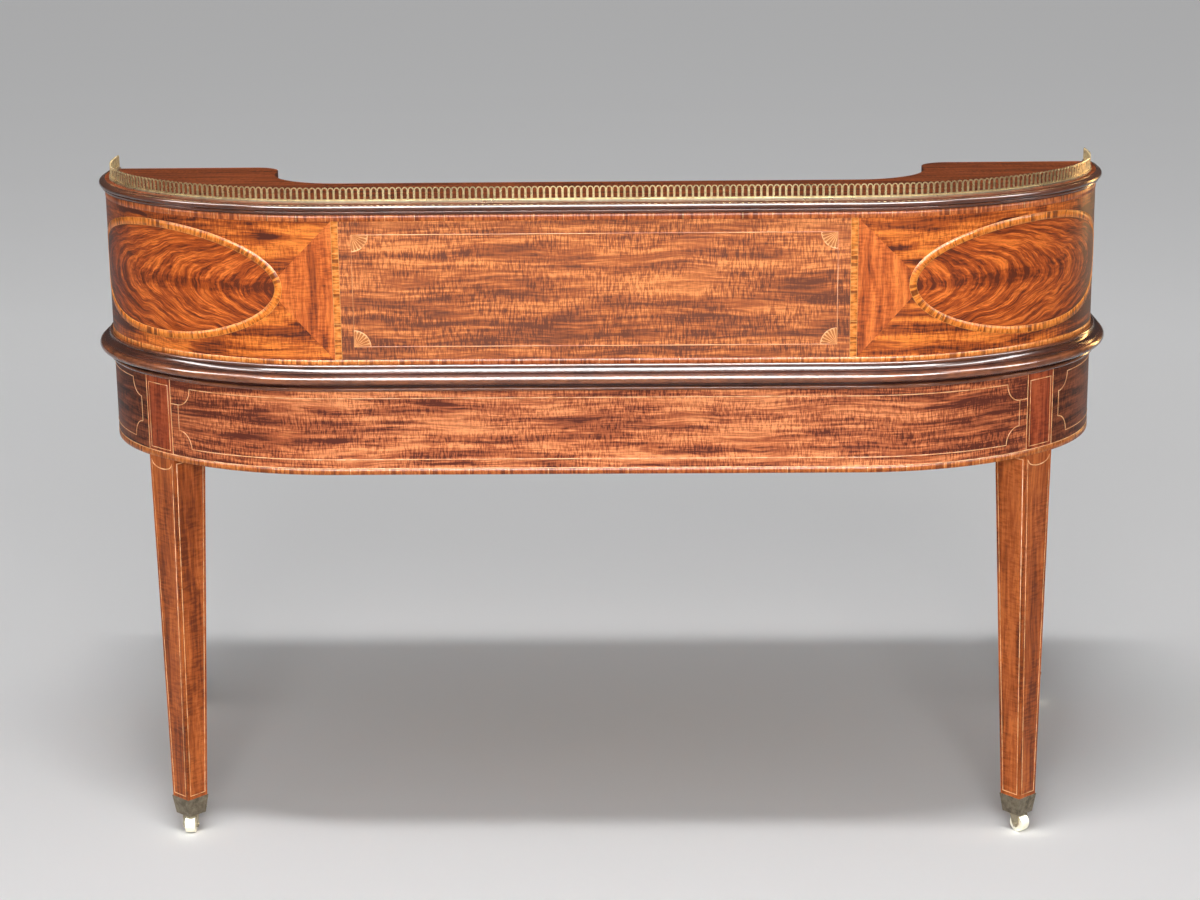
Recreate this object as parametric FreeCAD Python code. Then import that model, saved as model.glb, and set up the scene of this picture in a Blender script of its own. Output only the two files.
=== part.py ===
import FreeCAD, Part
import math
import os
from FreeCAD import Vector

# A D-shaped carlton house desk in millimetres.
# +X is the sitter's right, +Y the rounded back, +Z up.
# The origin is on the floor, under the middle of the desk.

# Plan of the body: straight back, corners of two radii, straight sides and front
HALF_WIDTH = 735.0
BODY_DEPTH = 690.0
BACK_CORNER_RADIUS = 400.0
SIDE_CORNER_RADIUS = 290.0
CORNER_SPLIT_DEG = 45.0
CORNER_STAVES = 2

# Heights, each standing on the one before
LEG_LENGTH = 588.0
FRIEZE_HEIGHT = 139.5
BOARD_THICKNESS = 20.0
CARCASE_HEIGHT = 210.5
TOP_THICKNESS = 16.0
GALLERY_RAIL_HEIGHT = 2.5
GALLERY_HEIGHT = 18.5

# Walls
FRIEZE_WALL = 20.0
CARCASE_WALL = 16.0
FITTING_GAP = 0.3

# Legs, square and tapered on their inner faces
LEG_WIDTH = 57.0
LEG_FOOT_WIDTH = 36.0
REAR_LEG_FACING_DEG = 48.0

# Brass cups and castors
CUP_RIM_LEVEL = 58.0
CUP_WALL = 1.2
CUP_FOOT_WIDTH = 31.0
CUP_FLOOR = 6.0
CASTOR_HEIGHT = 30.0
WHEEL_DIAMETER = 26.0
WHEEL_WIDTH = 15.0
WHEEL_EDGE_ROUND = 1.5
WHEEL_SIDE_GAP = 0.5
FORK_PLATE_DIAMETER = 25.0
FORK_PLATE_THICKNESS = 3.0
FORK_CHEEK = 3.0
FORK_BOSS_WIDTH = 11.0
FORK_BOSS_DROP = 5.0
AXLE_DIAMETER = 4.0
AXLE_END = 1.0
STEM_DIAMETER = 8.0
STEM_TOP_GAP = 0.5
CASTOR_TRAIL = 5.0
RUNNING_CLEARANCE = 0.05

# Waist moulding round the writing board
WAIST_DROP = 18.0
WAIST_REACH = 21.0
WAIST_NOSE_ROOT = 17.0
WAIST_NOSE_HEIGHT = 12.0
WAIST_STEP = 14.0
WAIST_STEP_HEIGHT = 2.0
WAIST_LOW_BEAD_ROOT = 5.0
WAIST_LOW_BEAD_REACH = 7.5
WAIST_LOW_BEAD_HEIGHT = 6.0
WAIST_LOW_COVE_HEIGHT = 6.0
WAIST_TOP_BEAD_ROOT = 4.0
WAIST_TOP_BEAD_REACH = 6.0
WAIST_TOP_BEAD_HEIGHT = 5.5

# Top moulding round the upper carcase
TOP_REACH = 9.0
TOP_NOSE_ROOT = 5.2
TOP_NOSE_HEIGHT = 8.0
TOP_BEAD_ROOT = 3.0
TOP_BEAD_REACH = 5.0
TOP_BEAD_HEIGHT = 4.5
TOP_FILLET = 2.0
TOP_FILLET_HEIGHT = 1.5

# Frieze drawers and the frame round them
RAIL_DEPTH = 30.0
LOWER_RAIL_HEIGHT = 18.0
UPPER_RAIL_HEIGHT = 29.0
DIVIDER_WIDTH = 20.0
CENTRE_OPENING_WIDTH = 560.0
BEARER_FRONT_FROM_BACK = 245.0
BEARER_DEPTH = 30.0
RUNNER_WIDTH = 30.0
GUIDE_WIDTH = 20.0
GUIDE_RISE = 34.0
DRAWER_LENGTH = 430.0
DRAWER_FRONT_THICKNESS = 20.0
DRAWER_WALL = 10.0
DRAWER_BOTTOM_THICKNESS = 6.0
DRAWER_BOTTOM_LIFT = 6.0
DRAWER_FRONT_GAP = 1.0
DRAWER_SIDE_GAP = 1.5
DRAWER_TOP_GAP = 10.0
DRAWER_KNOB_INSET = 95.0

# Turned knobs: foot, neck and head
KNOB_LENGTH = 20.0
KNOB_FOOT_DIAMETER = 22.0
KNOB_FOOT_THICKNESS = 2.5
KNOB_NECK_DIAMETER = 9.0
KNOB_HEAD_DIAMETER = 20.0
KNOB_HEAD_THICKNESS = 11.0
SMALL_KNOB_SCALE = 0.65

# Leather panel let into the writing board
LEATHER_SIDE_MARGIN = 36.0
LEATHER_FRONT_MARGIN = 45.0
LEATHER_BACK_MARGIN = 30.0
LEATHER_THICKNESS = 2.0

# Upper carcase: bank of drawers and pigeonholes, corner cupboards, side wings
BANK_HALF_WIDTH = 375.0
BANK_DEPTH = 180.0
BANK_BAYS = 3
BANK_WALL = 12.0
BANK_INNER_WALL = 10.0
BANK_SHELF = 8.0
BANK_SHELF_LEVEL = 96.0
BANK_SHELF_SETBACK = 2.0
CORNER_DOOR_RADIUS = 111.0
CORNER_DOOR_THICKNESS = 16.0
CORNER_DOOR_EDGE_GAP = 1.0
CORNER_DOOR_END_GAP = 2.0
CORNER_DOOR_HINGE_ROUND = 6.0
CORNER_DOOR_KNOB_DEG = 76.0
CORNER_DOOR_KNOB_SINK = 0.4
PIVOT_DIAMETER = 4.0
PIVOT_LENGTH = 8.0
PIVOT_PLATE_WIDTH = 10.0
TOP_NOSING = 6.0
TOP_SIDE_RUN = 33.0
WING_CORNER_ROUND = 40.0
BULKHEAD_THICKNESS = 14.0
WING_FRONT_MARGIN = 40.0
WING_FRONT_HEIGHT = 44.0
WING_FRONT_THICKNESS = 14.0
LID_THICKNESS = 14.0
LID_SIDE_GAP = 0.5
LID_LIP = 6.0
LID_PIN_DIAMETER = 5.0
LID_PIN_INTO_LID = 10.0
LID_PIN_INTO_WALL = 8.0

# Small drawers under the pigeonholes
SMALL_FRONT_THICKNESS = 12.0
SMALL_WALL = 6.0
SMALL_BOTTOM_THICKNESS = 4.0
SMALL_BOTTOM_LIFT = 4.0
SMALL_FRONT_GAP = 0.8
SMALL_TOP_GAP = 6.0
SMALL_BACK_GAP = 4.0

# Pierced brass gallery
GALLERY_INSET = 8.0
GALLERY_WALL = 1.6
GALLERY_RAIL_WIDTH = 5.0
GALLERY_PITCH = 8.5
GALLERY_SLOT_WIDTH = 5.4
GALLERY_SLOT_SILL = 2.0
GALLERY_ARCH_CROWN = 1.6

# Levels
FRIEZE_TOP = LEG_LENGTH + FRIEZE_HEIGHT
BOARD_TOP = FRIEZE_TOP + BOARD_THICKNESS
CARCASE_TOP = BOARD_TOP + CARCASE_HEIGHT
TOP_FACE = CARCASE_TOP + TOP_THICKNESS
RAIL_TOP = TOP_FACE + GALLERY_RAIL_HEIGHT
LEG_END = CASTOR_HEIGHT + CUP_FLOOR
WAIST_BOTTOM = FRIEZE_TOP - WAIST_DROP
RUNNER_TOP = LEG_LENGTH + LOWER_RAIL_HEIGHT
OPENING_TOP = FRIEZE_TOP - UPPER_RAIL_HEIGHT
SHELF_BOTTOM = BOARD_TOP + BANK_SHELF_LEVEL
SHELF_TOP = SHELF_BOTTOM + BANK_SHELF

# Lines of the plan
BACK_Y = BODY_DEPTH / 2.0
FRONT_Y = -BODY_DEPTH / 2.0
SPLIT = math.radians(CORNER_SPLIT_DEG)
RADIUS_STEP = BACK_CORNER_RADIUS - SIDE_CORNER_RADIUS
BACK_CENTRE = Vector(
    HALF_WIDTH - SIDE_CORNER_RADIUS - RADIUS_STEP * math.cos(SPLIT),
    BACK_Y - BACK_CORNER_RADIUS,
    0.0,
)
SIDE_CENTRE = Vector(
    HALF_WIDTH - SIDE_CORNER_RADIUS,
    BACK_CENTRE.y + RADIUS_STEP * math.sin(SPLIT),
    0.0,
)
BACK_HALF = BACK_CENTRE.x
SIDE_Y = SIDE_CENTRE.y
TOP_END_Y = SIDE_Y - TOP_SIDE_RUN
BANK_FRONT = BACK_Y - BANK_DEPTH
DOOR_CENTRE = Vector(BANK_HALF_WIDTH, BANK_FRONT - CORNER_DOOR_RADIUS, 0.0)
WING_INNER = BANK_HALF_WIDTH + CORNER_DOOR_RADIUS
WING_INSIDE = WING_INNER + CARCASE_WALL
WING_OUTSIDE = HALF_WIDTH - CARCASE_WALL
WING_FRONT = FRONT_Y + WING_FRONT_MARGIN
POST_INNER = HALF_WIDTH - LEG_WIDTH
BEARER_FRONT = BACK_Y - BEARER_FRONT_FROM_BACK
BEARER_BACK = BEARER_FRONT + BEARER_DEPTH
SIDES = {"right": 1, "left": -1}


def block(x0, x1, y0, y1, z0, z1):
    """Rectangular board between two opposite corners."""
    return Part.makeBox(x1 - x0, y1 - y0, z1 - z0, Vector(x0, y0, z0))


def on_side(shape, side):
    """A shape made for the sitter's right, or its mirror image on the left."""
    if side > 0:
        return shape
    return shape.mirror(Vector(0, 0, 0), Vector(1, 0, 0))


def polar(centre, radius, degrees):
    """Point on a circle in plan."""
    angle = math.radians(degrees)
    return centre + Vector(radius * math.cos(angle), radius * math.sin(angle), 0.0)


def plan_arc(centre, radius, start, end):
    """Arc in plan between two angles in degrees."""
    middle = (start + end) / 2.0
    return Part.Arc(
        polar(centre, radius, start), polar(centre, radius, middle), polar(centre, radius, end)
    ).toShape()


def line(start, end):
    """Straight edge."""
    return Part.LineSegment(start, end).toShape()


def raised(face, z0, z1):
    """Plan face made into a solid between two levels."""
    moved = face.copy()
    moved.translate(Vector(0, 0, z0))
    return moved.extrude(Vector(0, 0, z1 - z0))


def polygon(points):
    """Flat face through the given corners."""
    return Part.Face(Part.makePolygon(points + points[:1]))


def body_plan(inset, front):
    """Face of the D-shaped plan drawn in by an inset, with its front edge at y = front."""
    edge_x = HALF_WIDTH - inset
    back_y = BACK_Y - inset
    edges = [line(Vector(-BACK_HALF, back_y), Vector(BACK_HALF, back_y))]
    edges.append(plan_arc(BACK_CENTRE, BACK_CORNER_RADIUS - inset, 90.0, CORNER_SPLIT_DEG))
    edges.append(plan_arc(SIDE_CENTRE, SIDE_CORNER_RADIUS - inset, CORNER_SPLIT_DEG, 0.0))
    edges.append(line(Vector(edge_x, SIDE_Y), Vector(edge_x, front)))
    edges.append(line(Vector(edge_x, front), Vector(-edge_x, front)))
    edges.append(line(Vector(-edge_x, front), Vector(-edge_x, SIDE_Y)))
    left_side = Vector(-SIDE_CENTRE.x, SIDE_CENTRE.y)
    left_back = Vector(-BACK_CENTRE.x, BACK_CENTRE.y)
    split = 180.0 - CORNER_SPLIT_DEG
    edges.append(plan_arc(left_side, SIDE_CORNER_RADIUS - inset, 180.0, split))
    edges.append(plan_arc(left_back, BACK_CORNER_RADIUS - inset, split, 90.0))
    return Part.Face(Part.Wire(edges))


def sector(centre, inner, outer, start, end, z0, z1):
    """Upright curved stave between two radii and two angles."""
    edges = [
        plan_arc(centre, outer, start, end),
        line(polar(centre, outer, end), polar(centre, inner, end)),
        plan_arc(centre, inner, end, start),
        line(polar(centre, inner, start), polar(centre, outer, start)),
    ]
    return raised(Part.Face(Part.Wire(edges)), z0, z1)


def corner_arcs():
    """The two arcs of the right corner: centre, radius, start and end angle."""
    back = (BACK_CENTRE, BACK_CORNER_RADIUS, CORNER_SPLIT_DEG, 90.0)
    side = (SIDE_CENTRE, SIDE_CORNER_RADIUS, 0.0, CORNER_SPLIT_DEG)
    return [back, side]


def corner_staves(inset, wall, z0, z1, parts):
    """Staves of a wall round the right corner, from the back to the side."""
    staves = []
    for centre, radius, start, end in corner_arcs():
        step = (end - start) / parts
        for index in reversed(range(parts)):
            first = start + index * step
            staves.append(
                sector(centre, radius - inset - wall, radius - inset, first, first + step, z0, z1)
            )
    return staves


def profile_face(start, steps):
    """Moulding section: x is the reach outwards, z the height; a step is (end) or (through, end)."""
    edges = []
    here = Vector(start[0], 0, start[1])
    for step in steps:
        points = [Vector(reach, 0, height) for reach, height in step]
        if len(points) == 1:
            edges.append(line(here, points[0]))
        else:
            edges.append(Part.Arc(here, points[0], points[1]).toShape())
        here = points[-1]
    edges.append(line(here, Vector(start[0], 0, start[1])))
    return Part.Face(Part.Wire(edges))


def hollow_point(start, end):
    """Point that an inward-curving cove passes through on its way up and out."""
    bow = 1.0 - math.sqrt(0.5)
    return (start[0] + bow * (end[0] - start[0]), end[1] - bow * (end[1] - start[1]))


def turned_profile(face, facing_deg, origin):
    """Moulding section turned to face outwards and set on the outline."""
    placed = face.copy()
    placed.rotate(Vector(0, 0, 0), Vector(0, 0, 1), facing_deg)
    placed.translate(origin)
    return placed


def curved_mouldings(face):
    """Right corner lengths of a moulding."""
    lengths = []
    for centre, radius, start, end in corner_arcs():
        section = turned_profile(face, start, polar(centre, radius, start))
        lengths.append(section.revolve(centre, Vector(0, 0, 1), end - start))
    return lengths


def back_moulding(face):
    """Straight length of a moulding along the back."""
    section = turned_profile(face, 90.0, Vector(-BACK_HALF, BACK_Y, 0))
    return section.extrude(Vector(2.0 * BACK_HALF, 0, 0))


def waist_section():
    """Section of the waist moulding."""
    low_bead_top = WAIST_BOTTOM + WAIST_LOW_BEAD_HEIGHT
    nose_bottom = low_bead_top + WAIST_LOW_COVE_HEIGHT
    nose_top = nose_bottom + WAIST_NOSE_HEIGHT
    step_top = nose_top + WAIST_STEP_HEIGHT
    bead_bottom = BOARD_TOP - WAIST_TOP_BEAD_HEIGHT
    low_root = (WAIST_LOW_BEAD_ROOT, low_bead_top)
    nose_root = (WAIST_NOSE_ROOT, nose_bottom)
    step_edge = (WAIST_STEP, step_top)
    bead_root = (WAIST_TOP_BEAD_ROOT, bead_bottom)
    cove_middle = (
        hollow_point(bead_root, step_edge)[0],
        step_top + (bead_bottom - step_top) * (1.0 - math.sqrt(0.5)),
    )
    steps = [
        [(WAIST_LOW_BEAD_ROOT, WAIST_BOTTOM)],
        [(WAIST_LOW_BEAD_REACH, (WAIST_BOTTOM + low_bead_top) / 2.0), low_root],
        [hollow_point(low_root, nose_root), nose_root],
        [(WAIST_REACH, (nose_bottom + nose_top) / 2.0), (WAIST_NOSE_ROOT, nose_top)],
        [(WAIST_STEP, nose_top)],
        [step_edge],
        [cove_middle, bead_root],
        [(WAIST_TOP_BEAD_REACH, (bead_bottom + BOARD_TOP) / 2.0), (WAIST_TOP_BEAD_ROOT, BOARD_TOP)],
        [(0.0, BOARD_TOP)],
    ]
    return profile_face((0.0, WAIST_BOTTOM), steps)


def waist_moulding():
    """Waist moulding: back, curved corners, sides and front, mitred at the front corners."""
    face = waist_section()
    spread = 2.0 * WAIST_REACH
    corner = Vector(HALF_WIDTH, FRONT_Y, 0)
    ahead = polygon([corner, corner + Vector(spread, -spread), corner + Vector(0, -spread)])
    beside = polygon([corner, corner + Vector(spread, 0), corner + Vector(spread, -spread)])
    ahead = raised(ahead, WAIST_BOTTOM, BOARD_TOP)
    beside = raised(beside, WAIST_BOTTOM, BOARD_TOP)
    side = turned_profile(face, 0.0, Vector(HALF_WIDTH, FRONT_Y - WAIST_REACH, 0))
    side = side.extrude(Vector(0, SIDE_Y - FRONT_Y + WAIST_REACH, 0)).cut(ahead)
    front_width = 2.0 * (HALF_WIDTH + WAIST_REACH)
    front = turned_profile(face, -90.0, Vector(-HALF_WIDTH - WAIST_REACH, FRONT_Y, 0))
    front = front.extrude(Vector(front_width, 0, 0)).cut(beside).cut(on_side(beside, -1))
    lengths = [back_moulding(face), front]
    for sign in SIDES.values():
        lengths += [on_side(length, sign) for length in curved_mouldings(face) + [side]]
    return Part.makeCompound(lengths)


def top_moulding():
    """Top moulding: back, curved corners and sides, ending where the wings begin to slope."""
    bead_bottom = CARCASE_TOP + TOP_FILLET_HEIGHT
    bead_top = bead_bottom + TOP_BEAD_HEIGHT
    nose_top = bead_top + TOP_NOSE_HEIGHT
    steps = [
        [(TOP_FILLET, CARCASE_TOP)],
        [(TOP_FILLET, bead_bottom)],
        [(TOP_BEAD_ROOT, bead_bottom)],
        [(TOP_BEAD_REACH, (bead_bottom + bead_top) / 2.0), (TOP_BEAD_ROOT, bead_top)],
        [(TOP_NOSE_ROOT, bead_top)],
        [(TOP_REACH, (bead_top + nose_top) / 2.0), (TOP_NOSE_ROOT, nose_top)],
        [(TOP_FILLET, TOP_FACE)],
        [(0.0, TOP_FACE)],
    ]
    face = profile_face((0.0, CARCASE_TOP), steps)
    side = turned_profile(face, 0.0, Vector(HALF_WIDTH, TOP_END_Y, 0))
    side = side.extrude(Vector(0, TOP_SIDE_RUN, 0))
    lengths = [back_moulding(face)]
    for sign in SIDES.values():
        lengths += [on_side(length, sign) for length in curved_mouldings(face) + [side]]
    return Part.makeCompound(lengths)


def square_wire(width, depth, x, y, z):
    """Level rectangle from a corner, used for tapered legs and cups."""
    corners = [Vector(x, y, z), Vector(x + width, y, z)]
    corners += [Vector(x + width, y + depth, z), Vector(x, y + depth, z)]
    return Part.makePolygon(corners + corners[:1])


def rear_leg_wire(width, level):
    """Section of the rear leg before it is turned: outer face on x = 0, sides drawn in alike."""
    return square_wire(width, width, -width, -width / 2.0, level)


def front_leg_wire(width, level):
    """Section of the right front leg: outer side on x = 0 and front face on y = 0."""
    return square_wire(width, width, -width, 0.0, level)


def tapered(section, low_width, low, high_width, high):
    """Straight taper between two sections of a leg or cup."""
    return Part.makeLoft([section(low_width, low), section(high_width, high)], True, True)


def foot_centre(section):
    """Centre of the leg at the rim of its cup, before the leg is set in its place."""
    box = section(LEG_FOOT_WIDTH, CUP_RIM_LEVEL).BoundBox
    return Vector(box.Center.x, box.Center.y, 0)


def foot_wire(section, width, level):
    """Square section of the cup, or of the foot inside it, at a height above the floor."""
    centre = foot_centre(section)
    return square_wire(width, width, centre.x - width / 2.0, centre.y - width / 2.0, level)


def cup_width_at(level):
    """Outer width of the cup, which narrows from its rim to its floor."""
    rim = LEG_FOOT_WIDTH + 2.0 * CUP_WALL
    share = (level - CASTOR_HEIGHT) / (CUP_RIM_LEVEL - CASTOR_HEIGHT)
    return CUP_FOOT_WIDTH + (rim - CUP_FOOT_WIDTH) * share


def leg_foot(section):
    """Lower end of a leg, inside its cup."""
    end = foot_wire(section, cup_width_at(LEG_END) - 2.0 * CUP_WALL, LEG_END)
    rim = foot_wire(section, LEG_FOOT_WIDTH, CUP_RIM_LEVEL)
    return Part.makeLoft([end, rim], True, True)


def leg_taper(section):
    """Tapered length of a leg, from the rim of its cup to the frieze, with its foot."""
    taper = tapered(section, LEG_FOOT_WIDTH, CUP_RIM_LEVEL, LEG_WIDTH, LEG_LENGTH)
    return taper.fuse(leg_foot(section))


def post_blank(section):
    """Square post of a leg beside the frieze, before it is trimmed to the curve."""
    return tapered(section, LEG_WIDTH, LEG_LENGTH, LEG_WIDTH, FRIEZE_TOP)


def cup_blank(section):
    """Square brass cup round the foot of a leg, with a floor bored for the castor's stem."""
    foot = foot_wire(section, cup_width_at(CASTOR_HEIGHT), CASTOR_HEIGHT)
    rim = foot_wire(section, cup_width_at(CUP_RIM_LEVEL), CUP_RIM_LEVEL)
    shell = Part.makeLoft([foot, rim], True, True)
    centre = foot_centre(section)
    stem_hole = Part.makeCylinder(
        STEM_DIAMETER / 2.0 + RUNNING_CLEARANCE, CUP_FLOOR, Vector(centre.x, centre.y, CASTOR_HEIGHT)
    )
    return shell.cut(leg_foot(section)).cut(stem_hole)


def rear_leg_place():
    """Turn and place of the right rear leg, its outer face touching the corner's curve."""
    origin = polar(BACK_CENTRE, BACK_CORNER_RADIUS, REAR_LEG_FACING_DEG)
    return FreeCAD.Placement(origin, FreeCAD.Rotation(Vector(0, 0, 1), REAR_LEG_FACING_DEG))


def front_leg_place():
    """Place of the right front leg, flush with the side and the front."""
    return FreeCAD.Placement(Vector(HALF_WIDTH, FRONT_Y, 0), FreeCAD.Rotation())


def placed(shape, placement):
    """Copy of a shape moved to its place."""
    return shape.transformGeometry(placement.toMatrix())


LEG_KINDS = {
    "rear": (rear_leg_wire, rear_leg_place()),
    "front": (front_leg_wire, front_leg_place()),
}

# Direction in which each castor trails at rest, in degrees from +X
CASTOR_HEADINGS = {
    ("rear", "right"): 90.0,
    ("rear", "left"): 132.0,
    ("front", "right"): -62.0,
    ("front", "left"): -140.0,
}


def leg_post(kind):
    """Square post at the top of a right-hand leg, trimmed to the curve of the body."""
    section, placement = LEG_KINDS[kind]
    post = placed(post_blank(section), placement)
    return post.common(raised(body_plan(0.0, FRONT_Y), LEG_LENGTH, FRIEZE_TOP))


def leg(kind):
    """Right-hand leg with its post in one piece."""
    section, placement = LEG_KINDS[kind]
    taper = placed(leg_taper(section), placement)
    return taper.fuse(leg_post(kind)).removeSplitter()


def castor_place(kind, side):
    """Swivel axis of a castor on the floor, and its heading."""
    section, placement = LEG_KINDS[kind]
    foot = placement.multVec(foot_centre(section))
    return Vector(foot.x * SIDES[side], foot.y, 0), CASTOR_HEADINGS[kind, side]


def castor_fork():
    """Fork before it is turned: stem, plate and two cheeks, with its axle riveted through."""
    plate_top = CASTOR_HEIGHT - FITTING_GAP
    plate_bottom = plate_top - FORK_PLATE_THICKNESS
    axle_level = WHEEL_DIAMETER / 2.0
    stem_top = LEG_END - STEM_TOP_GAP
    fork = Part.makeCylinder(
        FORK_PLATE_DIAMETER / 2.0, FORK_PLATE_THICKNESS, Vector(0, 0, plate_bottom)
    )
    stem_height = stem_top - plate_bottom
    fork = fork.fuse(
        Part.makeCylinder(STEM_DIAMETER / 2.0, stem_height, Vector(0, 0, plate_bottom))
    )
    inner = WHEEL_WIDTH / 2.0 + WHEEL_SIDE_GAP
    boss = FORK_BOSS_WIDTH / 2.0
    low = axle_level - FORK_BOSS_DROP
    corners = [
        Vector(-boss, inner, plate_top - FORK_PLATE_THICKNESS / 2.0),
        Vector(CASTOR_TRAIL + boss, inner, plate_top - FORK_PLATE_THICKNESS / 2.0),
        Vector(CASTOR_TRAIL + boss, inner, axle_level),
        Vector(CASTOR_TRAIL + boss / 2.0, inner, low),
        Vector(CASTOR_TRAIL - boss / 2.0, inner, low),
        Vector(CASTOR_TRAIL - boss, inner, axle_level),
    ]
    cheek = polygon(corners).extrude(Vector(0, FORK_CHEEK, 0))
    fork = fork.fuse(cheek).fuse(cheek.mirror(Vector(0, 0, 0), Vector(0, 1, 0))).removeSplitter()
    reach = inner + FORK_CHEEK + AXLE_END
    axle = Part.makeCylinder(
        AXLE_DIAMETER / 2.0, 2.0 * reach, Vector(CASTOR_TRAIL, -reach, axle_level), Vector(0, 1, 0)
    )
    return fork.cut(axle), axle


def castor_wheel():
    """Brass wheel with rounded edges, bored for its axle."""
    radius = WHEEL_DIAMETER / 2.0
    start = Vector(CASTOR_TRAIL, -WHEEL_WIDTH / 2.0, radius)
    wheel = Part.makeCylinder(radius, WHEEL_WIDTH, start, Vector(0, 1, 0))
    rims = [edge for edge in wheel.Edges if isinstance(edge.Curve, Part.Circle)]
    wheel = wheel.makeFillet(WHEEL_EDGE_ROUND, rims)
    bore = Part.makeCylinder(
        AXLE_DIAMETER / 2.0 + RUNNING_CLEARANCE, WHEEL_WIDTH, start, Vector(0, 1, 0)
    )
    return wheel.cut(bore)


def at_castor(shape, kind, side):
    """Castor piece turned to its heading and moved under its leg."""
    foot, heading = castor_place(kind, side)
    moved = shape.copy()
    moved.rotate(Vector(0, 0, 0), Vector(0, 0, 1), heading)
    moved.translate(foot)
    return moved


def build_legs(nodes):
    """Legs, brass cups, forks with their axles, and wheels."""
    fork, axle = castor_fork()
    wheel = castor_wheel()
    cups = []
    for kind, (section, placement) in LEG_KINDS.items():
        right_leg = leg(kind)
        right_cup = placed(cup_blank(section), placement)
        for side, sign in SIDES.items():
            name = f"{kind}_{side}"
            nodes[f"{kind}_leg_{side}"] = on_side(right_leg, sign)
            cups.append(on_side(right_cup, sign))
            fork_solids = [at_castor(fork, kind, side), at_castor(axle, kind, side)]
            nodes[f"castor_fork_{name}"] = Part.makeCompound(fork_solids)
            nodes[f"castor_wheel_{name}"] = at_castor(wheel, kind, side)
    nodes["castor_cups"] = Part.makeCompound(cups)


def build_frieze(nodes):
    """Frieze walls round the back and sides, let in between the leg posts."""
    rear_blank = placed(post_blank(rear_leg_wire), rear_leg_place())
    centre = block(-BACK_HALF, BACK_HALF, BACK_Y - FRIEZE_WALL, BACK_Y, LEG_LENGTH, FRIEZE_TOP)
    back_solids = [centre]
    staves = corner_staves(0.0, FRIEZE_WALL, LEG_LENGTH, FRIEZE_TOP, CORNER_STAVES)
    leg_direction = polar(Vector(0, 0, 0), 1.0, REAR_LEG_FACING_DEG)
    across = Vector(-leg_direction.y, leg_direction.x, 0)
    leg_point = polar(BACK_CENTRE, BACK_CORNER_RADIUS, REAR_LEG_FACING_DEG)
    side_solids = []
    for stave in staves:
        for solid in stave.cut(rear_blank).Solids:
            behind = (solid.CenterOfMass - leg_point).dot(across) > 0.0
            if behind:
                back_solids += [on_side(solid, sign) for sign in SIDES.values()]
            else:
                side_solids.append(solid)
    post_back = FRONT_Y + LEG_WIDTH
    side_solids.append(
        block(HALF_WIDTH - FRIEZE_WALL, HALF_WIDTH, post_back, SIDE_Y, LEG_LENGTH, FRIEZE_TOP)
    )
    nodes["back_frieze"] = Part.makeCompound(back_solids)
    for side, sign in SIDES.items():
        solids = [on_side(solid, sign) for solid in side_solids]
        nodes[f"side_frieze_{side}"] = Part.makeCompound(solids)


def build_drawer_frame(nodes):
    """Rails, dividers, bearer and runners that carry the frieze drawers."""
    rail_back = FRONT_Y + RAIL_DEPTH
    half_opening = CENTRE_OPENING_WIDTH / 2.0
    divider_outer = half_opening + DIVIDER_WIDTH
    nodes["front_lower_rail"] = block(
        -POST_INNER, POST_INNER, FRONT_Y, rail_back, LEG_LENGTH, RUNNER_TOP
    )
    nodes["front_upper_rail"] = block(
        -POST_INNER, POST_INNER, FRONT_Y, rail_back, OPENING_TOP, FRIEZE_TOP
    )
    bearer = block(-HALF_WIDTH, HALF_WIDTH, BEARER_FRONT, BEARER_BACK, LEG_LENGTH, RUNNER_TOP)
    nodes["runner_bearer"] = bearer.common(
        raised(body_plan(FRIEZE_WALL, FRONT_Y), LEG_LENGTH, RUNNER_TOP)
    )
    divider = block(half_opening, divider_outer, FRONT_Y, BEARER_BACK, RUNNER_TOP, OPENING_TOP)
    nodes["drawer_dividers"] = Part.makeCompound([on_side(divider, sign) for sign in SIDES.values()])
    middle = block(
        half_opening - RUNNER_WIDTH, divider_outer + RUNNER_WIDTH,
        rail_back, BEARER_FRONT, LEG_LENGTH, RUNNER_TOP,
    )
    outer = block(
        POST_INNER - RUNNER_WIDTH, POST_INNER, rail_back, BEARER_FRONT, LEG_LENGTH, RUNNER_TOP
    )
    guide = block(
        POST_INNER, POST_INNER + GUIDE_WIDTH, FRONT_Y + LEG_WIDTH, BEARER_FRONT,
        LEG_LENGTH, RUNNER_TOP + GUIDE_RISE,
    )
    runners = []
    for sign in SIDES.values():
        runners += [on_side(piece, sign) for piece in (middle, outer, guide)]
    nodes["drawer_runners"] = Part.makeCompound(runners)


def knob(scale, origin, direction):
    """Turned brass knob on a face, pointing along a direction."""
    foot = KNOB_FOOT_DIAMETER * scale / 2.0
    neck = KNOB_NECK_DIAMETER * scale / 2.0
    head = KNOB_HEAD_DIAMETER * scale / 2.0
    length = KNOB_LENGTH * scale
    foot_top = KNOB_FOOT_THICKNESS * scale
    head_bottom = length - KNOB_HEAD_THICKNESS * scale
    head_edge = (head_bottom + length) / 2.0
    rise = length - head_edge
    dome = (head ** 2 + rise ** 2) / (2.0 * rise)
    half_angle = math.asin(head / dome) / 2.0
    crown = (dome * math.sin(half_angle), length - dome * (1.0 - math.cos(half_angle)))
    steps = [
        [(foot, 0.0)],
        [(foot, foot_top)],
        [(neck, (foot_top + head_bottom) / 2.0)],
        [(neck, head_bottom)],
        [(head, head_edge)],
        [crown, (0.0, length)],
    ]
    solid = profile_face((0.0, 0.0), steps).revolve(Vector(0, 0, 0), Vector(0, 0, 1), 360.0)
    turn = FreeCAD.Rotation(Vector(0, 0, 1), direction)
    return placed(solid, FreeCAD.Placement(origin, turn))


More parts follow.
